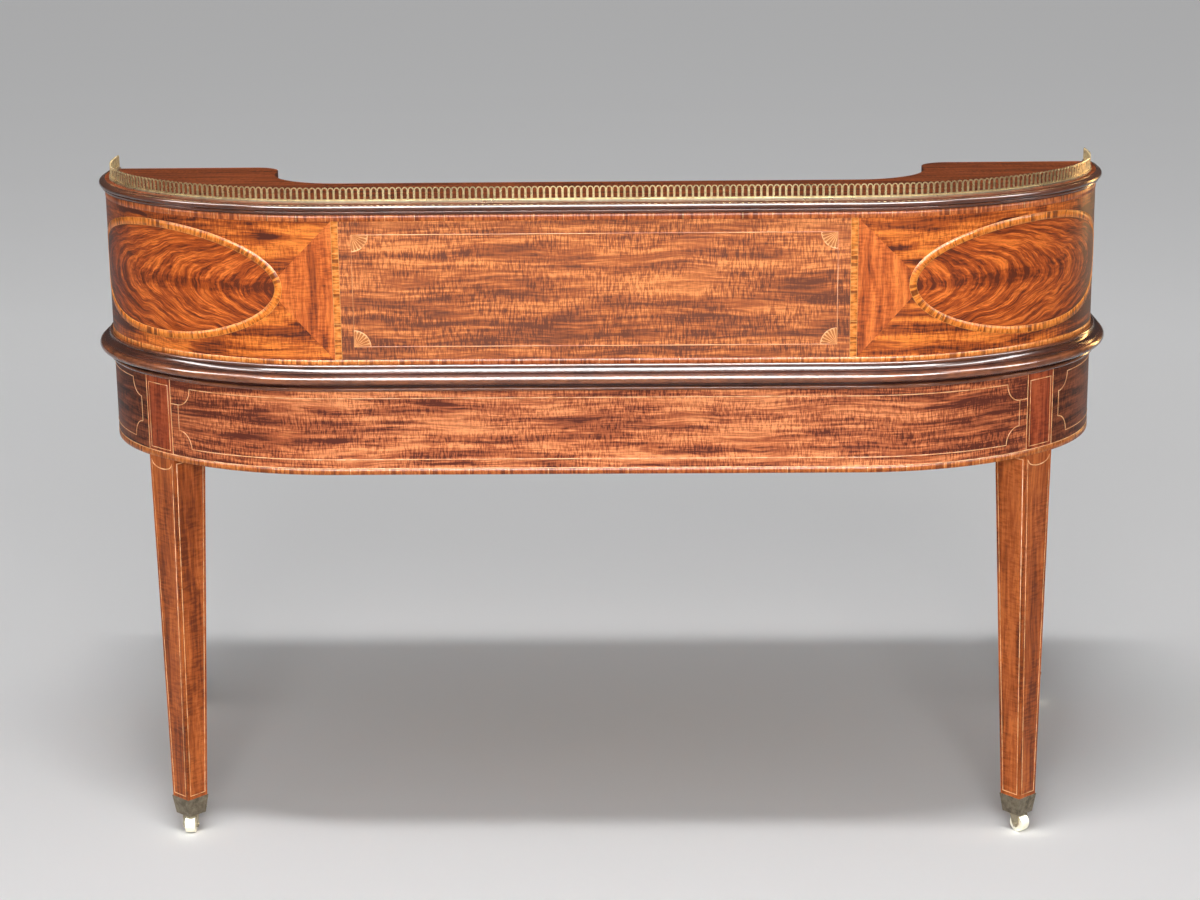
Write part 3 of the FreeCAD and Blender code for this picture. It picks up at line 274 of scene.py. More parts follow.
# Marks of mahogany, with scales along, across and through the grain
GRAIN_WANDER = Layer((5.0, 12.0, 12.0), reach=0.022)
BROAD_STREAKS = Layer((5.0, 75.0, 60.0), (0.36, 0.64), 4.0, 0.6)
FINE_STREAKS = Layer((16.0, 320.0, 200.0), (0.32, 0.68), 3.0, 0.65)
HAIR_STREAKS = Layer((50.0, 900.0, 500.0))
RIPPLE_BARS = Layer((1.0, 75.0, 1.0), (0.36, 0.6), 2.0, 0.6, 0.15)
RIPPLE_PATCHES = Layer((12.0, 40.0, 22.0), (0.34, 0.58))
MOTTLE_CLOUDS = Layer((11.0, 70.0, 30.0), (0.52, 0.68), 3.0, 0.6)
PORES = Layer((80.0, 1500.0, 1000.0), (0.57, 0.68), 1.0)
RIPPLE_MEAN = 0.62
RIPPLE_LEAST = 0.2
STREAK_SHARE = 0.78
HAIR_SHARE = 1.0 - STREAK_SHARE

# Wear of a polish
POLISH_CLOUDS = Layer(even(11.0), None, 4.0, 0.6)
POLISH_SCRATCHES = Layer((180.0, 40.0, 320.0), (0.6, 0.7))


@cache
def figure_group() -> bpy.types.NodeTree:
    """Group that draws the figure of mahogany: streaks along the grain, ripple across it, and pores.

    Returns:
        The group, which puts out the figure's tone and a mask of the pores.
    """
    graph, given, wanted = new_group(
        "wood_figure",
        [("Vector", VECTOR), ("Streak", FLOAT), ("Fine", FLOAT), ("Ripple", FLOAT), ("Ripple Pitch", FLOAT),
         ("Mottle", FLOAT)],
        [("Tone", FLOAT), ("Pores", FLOAT)],
    )
    along, across, depth = graph.parts(given["Vector"])
    across = graph.plus(across, graph.sway(given["Vector"], GRAIN_WANDER))
    across = graph.times(across, given["Streak"])
    grain = graph.vector(along, across, depth)
    bars = graph.layer(graph.vector(graph.times(along, given["Ripple Pitch"]), across), RIPPLE_BARS)
    ripple = graph.times(graph.minus(bars, RIPPLE_MEAN), given["Ripple"])
    ripple = graph.times(ripple, graph.between(graph.layer(grain, RIPPLE_PATCHES), RIPPLE_LEAST, 1.0))
    broad_share = graph.minus(STREAK_SHARE, given["Fine"])
    tone = graph.times(graph.layer(grain, BROAD_STREAKS), broad_share)
    tone = graph.plus(tone, graph.times(graph.layer(grain, FINE_STREAKS), given["Fine"]))
    tone = graph.plus(tone, graph.times(graph.layer(grain, HAIR_STREAKS), HAIR_SHARE))
    tone = graph.minus(tone, graph.times(graph.layer(grain, MOTTLE_CLOUDS), given["Mottle"]))
    graph.feed(wanted["Tone"], graph.plus(tone, ripple))
    graph.feed(wanted["Pores"], graph.layer(grain, PORES))
    return graph.tree


@cache
def polish_group() -> bpy.types.NodeTree:
    """Group that varies a polished surface.

    Returns:
        The group, which puts out cloudy roughness and a mask of fine scratches.
    """
    graph, given, wanted = new_group(
        "polish_wear",
        [("Vector", VECTOR), ("Base", FLOAT), ("Spread", FLOAT)],
        [("Roughness", FLOAT), ("Scratches", FLOAT)],
    )
    change = graph.times(graph.sway(given["Vector"], POLISH_CLOUDS), given["Spread"])
    graph.feed(wanted["Roughness"], graph.plus(given["Base"], change))
    graph.feed(wanted["Scratches"], graph.layer(given["Vector"], POLISH_SCRATCHES))
    return graph.tree


@dataclass(frozen=True)
class Polish:
    """How a finish takes the light: roughness and its wear, gloss, coat, and the depth of its relief."""

    roughness: float
    unevenness: float = 0.2
    specular: float = 0.5
    coat: float = 0.0
    coat_roughness: float = 0.1
    relief: float = 0.12
    depth: float = 0.0003
    scratched: bool = False
    metallic: float = 0.0

    def inputs(self, graph: Graph, surface: object, height: object) -> dict[str, object]:
        """What the polish feeds to a shader.

        Args:
            graph: The material's graph.
            surface: Place that the wear follows.
            height: Relief under the polish.

        Returns:
            Values and sockets by the names of the shader's inputs.
        """
        values = {"Vector": surface, "Base": self.roughness, "Spread": self.unevenness}
        wear = graph.group(polish_group(), values)
        if self.scratched:
            height = graph.minus(height, wear["Scratches"])
        values = {"Height": height, "Strength": self.relief, "Distance": self.depth}
        return {
            "Roughness": wear["Roughness"],
            "Normal": graph.node("ShaderNodeBump", values).outputs[0],
            "Metallic": self.metallic,
            "Specular IOR Level": self.specular,
            "Coat Weight": self.coat,
            "Coat Roughness": self.coat_roughness,
        }


@dataclass(frozen=True)
class Finish:
    """Finish of a surface, built as a material of the same name."""

    name: str

    def surface(self, graph: Graph) -> dict[str, object]:
        """What the finish feeds to its shader, by the names of the inputs."""
        raise NotImplementedError

    def material(self) -> bpy.types.Material:
        """Build the material.

        Returns:
            The material, with one shader that the finish feeds.
        """
        material = bpy.data.materials.new(self.name)
        material.use_nodes = True
        material.node_tree.nodes.clear()
        graph = Graph(material.node_tree)
        shader = graph.node("ShaderNodeBsdfPrincipled", self.surface(graph))
        graph.node("ShaderNodeOutputMaterial", {"Surface": shader.outputs[0]})
        return material


FRENCH_POLISH = Polish(
    0.36, 0.22, specular=0.16, coat=0.08, coat_roughness=0.09, depth=0.0004, scratched=True)
THIN_POLISH = replace(FRENCH_POLISH, specular=0.12, coat=0.06)
WORN_POLISH = replace(FRENCH_POLISH, specular=0.08, coat=0.04)
WAX = replace(FRENCH_POLISH, roughness=0.6, specular=0.05, coat=0.0)
BARE = replace(FRENCH_POLISH, roughness=0.6, specular=0.15, coat=0.0)
BAND_POLISH = Polish(0.33, specular=0.16, coat=0.06, relief=0.1)
LINE_POLISH = Polish(0.38, specular=0.25, coat=0.1, coat_roughness=0.12, relief=0.1, depth=0.0002)
MOULDING_POLISH = Polish(0.22, 0.22, specular=0.1, coat=1.0, coat_roughness=0.17, depth=0.0005)
HIDE_POLISH = Polish(0.62, specular=0.12, relief=0.25, depth=0.0005)


@dataclass(frozen=True)
class WoodFinish(Finish):
    """Polished wood with a figure along one direction, darker beyond a place if it has a fall; on the
    frieze and the spandrels the fall is painted shade towards the curved ends.
    """

    dark: Colour
    middle: Colour
    light: Colour
    source: Source = Source.SURFACE
    grain: Grain = Grain.ALONG_X_ACROSS_Y
    shift: Place = (0.0, 0.0, 0.0)
    streak: float = 1.0
    fine: float = 0.3
    ripple: float = 0.0
    ripple_pitch: float = 230.0
    mottle: float = 0.0
    # fall: how much darker the tone gets beyond fall_span; on the frieze and the spandrels this is painted
    # shade towards the curved ends
    fall: float = 0.0
    fall_span: FlatPoint = (0.0, 0.0)
    fall_axis: int = 1
    fall_drift: Layer = Layer((5.0, 11.0, 11.0), None, 3.0, 0.55, reach=0.2)
    stops: Place = (0.1, 0.45, 0.85)
    pore_depth: float = 0.4
    polish: Polish = FRENCH_POLISH

    def grain_vector(self, graph: Graph) -> Socket:
        """Place turned so that its first part runs along the grain."""
        parts = graph.parts(graph.joined("ADD", graph.place(self.source), self.shift))
        return graph.vector(*(parts[index] for index in self.grain.value))

    def shaded(self, graph: Graph, tone: Socket) -> Socket:
        """Figure with the slow darkening of the sheet between two places along or across it.

        Args:
            graph: The material's graph.
            tone: Light and dark of the figure.

        Returns:
            The darkened tone.
        """
        if self.fall == 0.0:
            return tone
        surface = graph.place(self.source)
        drift = graph.times(graph.layer(surface, self.fall_drift), self.fall_drift.reach)
        spot = graph.math("ABSOLUTE", graph.parts(surface)[self.fall_axis])
        share = graph.spread(graph.plus(spot, drift), *self.fall_span)
        return graph.minus(tone, graph.times(share, self.fall))

    def surface(self, graph: Graph) -> dict[str, object]:
        """Figure, pores and polish.

        Args:
            graph: The material's graph.

        Returns:
            Values and sockets by the names of the shader's inputs.
        """
        vector = self.grain_vector(graph)
        figure = graph.group(figure_group(), {
            "Vector": vector, "Streak": self.streak, "Fine": self.fine, "Ripple": self.ripple,
            "Ripple Pitch": self.ripple_pitch, "Mottle": self.mottle,
        })
        tone, pores = self.shaded(graph, figure["Tone"]), figure["Pores"]
        colour = graph.ramp(tone, self.stops, (self.dark, self.middle, self.light))
        colour = graph.mix(graph.times(pores, self.pore_depth), colour, opaque(self.dark))
        return {"Base Color": colour, **self.polish.inputs(graph, vector, graph.minus(tone, pores))}


@dataclass(frozen=True)
class FlameFinish(WoodFinish):
    """Crotch veneer: plumes that sweep away from a level spine, alike on both ends of the desk."""

    centre: FlatPoint = (0.648, 0.855)
    reach: FlatPoint = (0.213, 0.085)
    sweep: float = 36.0
    wave: Layer = Layer((11.0, 20.0, 1.0), reach=0.026)
    jitter: Layer = Layer((45.0, 60.0, 1.0), reach=0.012)
    ragged: Layer = Layer((38.0, 130.0, 1.0), None, 4.0, 0.65, reach=0.035)
    along_scale: float = 2.2
    depth_scale: float = 0.2
    spine: float = 0.26
    spine_span: FlatPoint = (0.014, 0.002)
    spine_end: FlatPoint = (0.09, -0.02)
    rim: float = 0.16
    rim_span: FlatPoint = (0.35, 1.0)
    # outer darkens the oval towards the desk's curved end: painted shade
    outer: float = 0.32
    outer_shade_span: FlatPoint = (0.0, 0.2)

    def offsets(self, graph: Graph) -> tuple[Socket, Socket, Socket, Socket]:
        """Place on the sheet, as it is and from the oval's middle.

        Args:
            graph: The material's graph.

        Returns:
            Run, height, distance outwards from the middle and distance above it.
        """
        run, level, _ = graph.parts(graph.place(self.source))
        out = graph.minus(graph.math("ABSOLUTE", run), self.centre[0])
        return run, level, out, graph.minus(level, self.centre[1])

    def grain_vector(self, graph: Graph) -> Socket:
        """Place bent along the plumes.

        Args:
            graph: The material's graph.

        Returns:
            Vector of the distance from the spine, the plume's place and a slow depth.
        """
        run, level, out, away = self.offsets(graph)
        sheet = graph.vector(out, level)
        away = graph.plus(away, graph.sway(sheet, self.wave))
        square = graph.times(graph.times(away, away), self.sweep)
        plume = graph.plus(graph.plus(out, square), graph.sway(sheet, self.jitter))
        return graph.vector(graph.times(away, self.along_scale), plume, graph.times(run, self.depth_scale))

    def shaded(self, graph: Graph, tone: Socket) -> Socket:
        """Figure with a dark ragged spine, a darker rim and a darker outer end, which is painted shade.

        Args:
            graph: The material's graph.
            tone: Light and dark of the figure.

        Returns:
            The darkened tone.
        """
        run, level, out, away = self.offsets(graph)
        ragged = graph.plus(away, graph.sway(graph.vector(run, level), self.ragged))
        spine = graph.spread(graph.math("ABSOLUTE", ragged), *self.spine_span)
        spine = graph.times(spine, graph.spread(out, *self.spine_end))
        wide = graph.math("DIVIDE", out, self.reach[0])
        tall = graph.math("DIVIDE", away, self.reach[1])
        ring = graph.plus(graph.times(wide, wide), graph.times(tall, tall))
        # The loss over the outer span is painted shade towards the curved end; the spine and rim are
        # figure.
        losses = ((spine, self.spine), (graph.spread(ring, *self.rim_span), self.rim),
                  (graph.spread(out, *self.outer_shade_span), self.outer))
        for share, loss in losses:
            tone = graph.minus(tone, graph.times(share, loss))
        return tone


@dataclass(frozen=True)
class BandFinish(Finish):
    """Cross-banded strip: grain across it, pale lines along its edges, joints between its lengths, and
    painted shade across the middle of the desk.
    """

    dark: Colour
    middle: Colour
    light: Colour
    width: float = 0.010
    edge_line: float = 0.0
    joint_pitch: float = 0.05
    joint_width: float = 0.0007
    line: Colour = (0.95, 0.55, 0.22)
    line_share: float = 0.8
    # centre tints the band across the middle of the desk: painted shade, which leaves the curved ends
    # lighter
    centre: Colour = WHITE
    centre_shade_span: FlatPoint = (0.42, 0.12)
    ticks: Layer = Layer((250.0, 60.0, 1.0), (0.3, 0.66), 3.0, 0.6)
    ticks_share: float = 0.6
    changes: Layer = Layer((26.0, 1.0, 1.0))
    changes_share: float = 0.5
    cracks: Layer = Layer((170.0, 1.0, 1.0), (0.52, 0.6), 1.0)
    clumps: Layer = Layer((24.0, 1.0, 1.0), (0.42, 0.56), 1.0)
    cracks_share: float = 0.85
    rows: Place = (0.5, 3.7, 8.1)
    stops: Place = (0.12, 0.5, 0.9)

    def pale_lines(self, graph: Graph, run: Socket, across: Socket) -> Socket:
        """Mask of the joints and of the lines along the edges.

        Args:
            graph: The material's graph.
            run: Distance along the strip.
            across: Distance from its middle.

        Returns:
            The mask.
        """
        jump = graph.math("FRACT", graph.math("DIVIDE", run, self.joint_pitch))
        joint = graph.math("LESS_THAN", jump, self.joint_width / self.joint_pitch)
        edge_start = self.width / 2.0 - self.edge_line
        edge = graph.math("GREATER_THAN", graph.math("ABSOLUTE", across), edge_start)
        return graph.math("MAXIMUM", joint, edge)

    def surface(self, graph: Graph) -> dict[str, object]:
        """Cross grain, cracks, pale lines and polish, by the run along the strip and the place across it.

        Args:
            graph: The material's graph.

        Returns:
            Values and sockets by the names of the shader's inputs.
        """
        run, across = graph.attribute("run"), graph.attribute("across")
        change, crack, clump = (graph.layer(graph.vector(run, row), layer)
                                for row, layer in zip(self.rows, (self.changes, self.cracks, self.clumps)))
        ticks = graph.times(graph.layer(graph.vector(run, across), self.ticks), self.ticks_share)
        tone = graph.plus(ticks, graph.times(change, self.changes_share))
        colour = graph.ramp(tone, self.stops, (self.dark, self.middle, self.light))
        cracked = graph.times(graph.times(crack, clump), self.cracks_share)
        colour = graph.mix(cracked, colour, opaque(self.dark))
        surface = graph.place(Source.OBJECT)
        # Painted shade: the colour is multiplied by centre across the middle of the desk.
        side = graph.math("ABSOLUTE", graph.parts(surface)[0])
        colour = graph.mix(graph.spread(side, *self.centre_shade_span), colour, opaque(self.centre), "MULTIPLY")
        pale = graph.times(self.pale_lines(graph, run, across), self.line_share)
        colour = graph.mix(pale, colour, opaque(self.line))
        return {"Base Color": colour, **BAND_POLISH.inputs(graph, surface, tone)}


@dataclass(frozen=True)
class LineFinish(Finish):
    """Boxwood stringing, paler and darker along its run, scorched where the mesh says so."""

    pale: Colour
    worn: Colour
    scorched: Colour = (0.10, 0.03, 0.012)
    changes: Layer = Layer(even(70.0), (0.42, 0.62), 3.0, 0.6)
    fibre: Layer = Layer(even(900.0))
    fibre_span: FlatPoint = (0.55, 0.75)
    fibre_share: float = 0.35

    def surface(self, graph: Graph) -> dict[str, object]:
        """Changes of tone, fibres, scorching and polish.

        Args:
            graph: The material's graph.

        Returns:
            Values and sockets by the names of the shader's inputs.
        """
        surface = graph.place(Source.OBJECT)
        colour = graph.mix(graph.layer(surface, self.changes), opaque(self.pale), opaque(self.worn))
        fibre = graph.layer(surface, self.fibre)
        share = graph.times(graph.spread(fibre, *self.fibre_span), self.fibre_share)
        colour = graph.mix(share, colour, opaque(self.worn))
        colour = graph.mix(graph.attribute("scorch"), colour, opaque(self.scorched))
        return {"Base Color": colour, **LINE_POLISH.inputs(graph, surface, fibre)}


@dataclass(frozen=True)
class MouldingFinish(Finish):
    """Dark polished moulding, rubbed lighter along some heights, partly wear and partly painted sheen where
    the moulding catches the light.
    """

    low: float
    high: float
    rubbed: Sequence[FlatPoint]
    dark: Colour = (0.020, 0.006, 0.005)
    middle: Colour = (0.085, 0.024, 0.017)
    worn: Colour = (0.50, 0.16, 0.055)
    figure: Layer = Layer((9.0, 9.0, 420.0), (0.35, 0.68), 3.0, 0.6)
    patches: Layer = Layer((26.0, 26.0, 60.0), (0.36, 0.62), 4.0, 0.62)
    patch_least: float = 0.45
    chips: Layer = Layer(even(230.0), (0.66, 0.72))
    chip_share: float = 0.5

    def surface(self, graph: Graph) -> dict[str, object]:
        """Grain along the moulding, worn lines at their heights, chips and polish.

        Args:
            graph: The material's graph.

        Returns:
            Values and sockets by the names of the shader's inputs.
        """
        surface = graph.place(Source.OBJECT)
        figure = graph.layer(surface, self.figure)
        colour = graph.mix(figure, opaque(self.dark), opaque(self.middle))
        height = graph.minus(graph.parts(surface)[2], self.low)
        height = graph.math("DIVIDE", height, self.high - self.low)
        # Rubbed bands by share of height, lighter towards worn: partly wear, partly painted sheen at the
        # heights that catch the light.
        stops, values = zip(*self.rubbed)
        lines = graph.ramp(height, stops, [even(value) for value in values])
        patch = graph.between(graph.layer(surface, self.patches), self.patch_least, 1.0)
        colour = graph.mix(graph.times(patch, lines), colour, opaque(self.worn))
        chips = graph.layer(surface, self.chips)
        colour = graph.mix(graph.times(chips, self.chip_share), colour, opaque(self.dark))
        return {"Base Color": colour, **MOULDING_POLISH.inputs(graph, surface, graph.minus(figure, chips))}


@dataclass(frozen=True)
class BrassFinish(Finish):
    """Brass with tarnish in clouds and fine wear."""

    bright: Colour
    tarnish: Colour
    amount: float
    roughness: float
    clouds: Layer = Layer(even(85.0), None, 5.0, 0.65)
    stain_span: FlatPoint = (0.36, 0.66)
    pits: Layer = Layer(even(900.0), (0.6, 0.75))
    unevenness: float = 0.3
    dulling: float = 0.25

    def surface(self, graph: Graph) -> dict[str, object]:
        """Metal with cloudy tarnish, which dulls it, and small pits.

        Args:
            graph: The material's graph.

        Returns:
            Values and sockets by the names of the shader's inputs.
        """
        surface = graph.place(Source.OBJECT)
        cloud = graph.layer(surface, self.clouds)
        stain = graph.times(graph.spread(cloud, *self.stain_span), self.amount)
        height = graph.minus(cloud, graph.layer(surface, self.pits))
        polish = Polish(self.roughness, self.unevenness, scratched=True, metallic=1.0)
        inputs = polish.inputs(graph, surface, height)
        inputs["Roughness"] = graph.plus(inputs["Roughness"], graph.times(stain, self.dulling))
        return {"Base Color": graph.mix(stain, opaque(self.bright), opaque(self.tarnish)), **inputs}


@dataclass(frozen=True)
class LeatherFinish(Finish):
    """Waxed hide with a fine grain and rubbed patches."""

    ground: Colour
    rubbed: Colour
    pebbles: float = 620.0
    pebble_span: FlatPoint = (0.1, 0.7)
    wear: Layer = Layer(even(9.0), (0.4, 0.7), 5.0, 0.6)

    def surface(self, graph: Graph) -> dict[str, object]:
        """Pebbled grain and wear.

        Args:
            graph: The material's graph.

        Returns:
            Values and sockets by the names of the shader's inputs.
        """
        surface = graph.place(Source.OBJECT)
        cells = graph.node("ShaderNodeTexVoronoi", {"Vector": surface, "Scale": self.pebbles}).outputs[0]
        colour = graph.mix(graph.layer(surface, self.wear), opaque(self.ground), opaque(self.rubbed))
        colour = graph.mix(graph.spread(cells, *self.pebble_span), colour, opaque(self.ground))
        return {"Base Color": colour, **HIDE_POLISH.inputs(graph, surface, cells)}


@dataclass(frozen=True)
class FloorFinish(Finish):
    """Pale seamless floor, a little deeper in tone away from the desk."""

    near: Colour
    far: Colour
    glow: float
    away_span: FlatPoint = (0.2, -3.8)
    tooth: Layer = Layer(even(40.0), None, 3.0, 0.6)
    tooth_share: float = 0.03
    roughness: float = 0.85
    specular: float = 0.1

    def surface(self, graph: Graph) -> dict[str, object]:
        """Paper with a slow change of tone, a faint tooth, and a glow far off that only the camera sees.

        Args:
            graph: The material's graph.

        Returns:
            Values and sockets by the names of the shader's inputs.
        """
        surface = graph.place(Source.OBJECT)
        away = graph.spread(graph.parts(surface)[1], *self.away_span)
        colour = graph.mix(away, opaque(self.near), opaque(self.far))
        tooth = graph.times(graph.layer(surface, self.tooth), self.tooth_share)
        seen = graph.times(graph.node("ShaderNodeLightPath").outputs["Is Camera Ray"], away)
        return {
            "Base Color": graph.mix(tooth, colour, opaque(self.far)),
            "Emission Color": opaque(self.far),
            "Emission Strength": graph.times(seen, self.glow / self.far[0]),
            "Roughness": self.roughness,
            "Specular IOR Level": self.specular,
        }


FIDDLEBACK = WoodFinish(
    "fiddleback_mahogany", (0.16, 0.048, 0.024), (0.46, 0.120, 0.034), (0.92, 0.325, 0.10),
    ripple=0.44, ripple_pitch=430.0, mottle=0.18, streak=0.85, fine=0.34,
    fall=0.13, fall_span=(0.985, 0.915))
# The streaked frieze veneer darkens along its curved ends by its fall: painted shade.
FRIEZE_WOOD = WoodFinish(
    "streaked_mahogany", (0.115, 0.021, 0.009), (0.50, 0.124, 0.040), (1.0, 0.370, 0.14),
    shift=(3.1, 0.7, 0.0), ripple=0.36, ripple_pitch=430.0, mottle=0.28, fine=0.34,
    fall=0.24, fall_span=(0.47, 0.72), fall_axis=0)
# Darker veneer of the side friezes: partly a darker wood, partly painted shade on the sides that face away
# from the light.
SIDE_WOOD_AND_SHADE = WoodFinish(
    "side_frieze_mahogany", (0.036, 0.009, 0.005), (0.14, 0.032, 0.012), (0.31, 0.083, 0.032),
    shift=(1.1, 0.2, 0.0), ripple=0.3, mottle=0.26, polish=WORN_POLISH)
FLAME = FlameFinish(
    "flame_mahogany", (0.12, 0.021, 0.005), (0.44, 0.076, 0.009), (0.95, 0.235, 0.034),
    streak=0.75, fine=0.36, ripple=0.2, ripple_pitch=90.0, mottle=0.16)
# The spandrel veneer darkens towards the ends of its run by its fall: painted shade near the curved ends.
SPANDREL_WOOD = WoodFinish(
    "spandrel_mahogany", (0.09, 0.017, 0.006), (0.45, 0.088, 0.011), (1.0, 0.285, 0.042),
    shift=(1.3, 0.35, 0.0), ripple=0.24, ripple_pitch=330.0, mottle=0.4, streak=0.8,
    fall=0.34, fall_span=(0.66, 0.92), fall_axis=0)
TRIANGLE_WOOD = WoodFinish(
    "triangle_mahogany", (0.15, 0.029, 0.009), (0.54, 0.108, 0.018), (0.90, 0.245, 0.048),
    grain=Grain.ALONG_Y_ACROSS_X, shift=(0.2, 2.1, 0.0), ripple=0.24, ripple_pitch=330.0, mottle=0.26,
    streak=0.6)
BLOCK_WOOD = WoodFinish(
    "block_mahogany", (0.10, 0.017, 0.006), (0.31, 0.049, 0.013), (0.53, 0.11, 0.032),
    grain=Grain.ALONG_Y_ACROSS_X, shift=(0.9, 4.2, 0.0), ripple=0.2, mottle=0.2, polish=THIN_POLISH)
LEG_WOOD = WoodFinish(
    "leg_mahogany", (0.15, 0.028, 0.005), (0.37, 0.080, 0.013), (0.60, 0.155, 0.032),
    source=Source.OBJECT, grain=Grain.ALONG_Z_ACROSS_X, ripple=0.25, mottle=0.16, streak=0.8)
TOP_WOOD = WoodFinish(
    "top_mahogany", (0.07, 0.014, 0.004), (0.17, 0.036, 0.008), (0.30, 0.070, 0.018),
    source=Source.OBJECT, shift=(0.4, 0.2, 0.0), ripple=0.3, mottle=0.2, polish=WAX)
INSIDE_WOOD = WoodFinish(
    "inside_mahogany", (0.12, 0.027, 0.009), (0.40, 0.100, 0.026), (0.74, 0.225, 0.06),
    source=Source.OBJECT, grain=Grain.ALONG_X_ACROSS_Z, shift=(0.0, 0.6, 0.9), ripple=0.36,
    ripple_pitch=330.0, mottle=0.24)
UPRIGHT_WOOD = replace(
    INSIDE_WOOD, name="upright_mahogany", grain=Grain.ALONG_Z_ACROSS_X, shift=(0.5, 0.0, 0.2), ripple=0.4,
    ripple_pitch=230.0, mottle=0.2)
LID_WOOD = replace(
    INSIDE_WOOD, name="lid_mahogany", grain=Grain.DOWN_A_SLOPE, shift=(0.2, 0.0, 0.7), ripple=0.3,
    mottle=0.2, polish=THIN_POLISH)
FORE_WOOD = replace(
    LID_WOOD, name="wing_mahogany", grain=Grain.ALONG_Y_ACROSS_Z, ripple=0.25, ripple_pitch=230.0)
LINING_WOOD = WoodFinish(
    "drawer_oak", (0.26, 0.15, 0.07), (0.46, 0.31, 0.17), (0.60, 0.44, 0.27),
    source=Source.OBJECT, grain=Grain.ALONG_Y_ACROSS_X, streak=1.2, polish=BARE)
BAND = BandFinish(
    "satinwood_band", (0.20, 0.042, 0.008), (0.76, 0.220, 0.032), (1.0, 0.40, 0.10),
    edge_line=0.0006, line=(0.95, 0.48, 0.16))
RING = BandFinish(
    "tulipwood_ring", (0.17, 0.032, 0.005), (0.80, 0.205, 0.022), (1.0, 0.36, 0.060),
    width=0.0105, edge_line=0.0004, line=(0.95, 0.42, 0.11))
# The centre tints of the top, low and waist bands are painted shade across the middle of the desk.
TOP_BAND = BandFinish(
    "rosewood_top_band", (0.20, 0.040, 0.012), (0.52, 0.120, 0.030), (0.78, 0.235, 0.06),
    width=0.009, joint_pitch=0.041, centre=(0.9, 0.85, 0.9))
LOW_BAND = BandFinish(
    "golden_low_band", (0.20, 0.045, 0.010), (0.48, 0.120, 0.024), (0.74, 0.25, 0.06),
    width=0.0084, joint_pitch=0.056, centre=(0.85, 0.72, 0.80))
WAIST_BAND = BandFinish(
    "waist_band", (0.26, 0.060, 0.010), (0.76, 0.225, 0.038), (0.98, 0.40, 0.10),
    width=0.0066, joint_pitch=0.056, centre=(0.58, 0.44, 0.62))
BOXWOOD = LineFinish("boxwood_line", (1.0, 0.58, 0.27), (0.74, 0.31, 0.10))
FAINT_LINE = LineFinish(
    "worn_boxwood_line", (0.88, 0.42, 0.16), (0.48, 0.15, 0.055),
    changes=replace(BOXWOOD.changes, scale=even(9.0)))
FAN = LineFinish("fan_petals", (0.66, 0.225, 0.058), (0.50, 0.15, 0.036), scorched=(0.26, 0.07, 0.02))
FAN_GROUND = LineFinish("fan_ground", (0.92, 0.48, 0.19), (0.74, 0.31, 0.10))
GILT = BrassFinish("gilt_tooling", (0.80, 0.56, 0.22), (0.30, 0.20, 0.07), 0.6, 0.4)
GALLERY_BRASS = BrassFinish("gallery_brass", (0.70, 0.55, 0.30), (0.10, 0.055, 0.018), 0.70, 0.24)
RAIL_BRASS = BrassFinish("rail_brass", (0.44, 0.39, 0.28), (0.17, 0.13, 0.08), 0.6, 0.28)
KNOB_BRASS = BrassFinish("knob_brass", (0.86, 0.66, 0.34), (0.36, 0.24, 0.09), 0.4, 0.22)
CUP_BRASS = BrassFinish("cup_brass", (0.23, 0.195, 0.14), (0.08, 0.065, 0.045), 0.8, 0.42)
WHEEL_BRASS = BrassFinish("wheel_brass", (1.0, 0.97, 0.83), (0.66, 0.58, 0.42), 0.25, 0.46)
LEATHER = LeatherFinish("green_leather", (0.020, 0.045, 0.018), (0.07, 0.11, 0.045))
FLOOR = FloorFinish("pale_floor", (0.735, 0.735, 0.742), (0.70, 0.70, 0.705), 0.205)


@cache
def material_of(finish: Finish) -> bpy.types.Material:
    """Material of a finish, built once."""
    return finish.material()


def dress(finish: Finish, *nodes: str) -> None:
    """Give CAD nodes a finish.

    Args:
        finish: One of the finishes.
        nodes: Names of the nodes.
    """
    for name in nodes:
        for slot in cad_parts[name].material_slots:
            slot.material = material_of(finish)
        log.info("dressed %s in %s", name, finish.name)


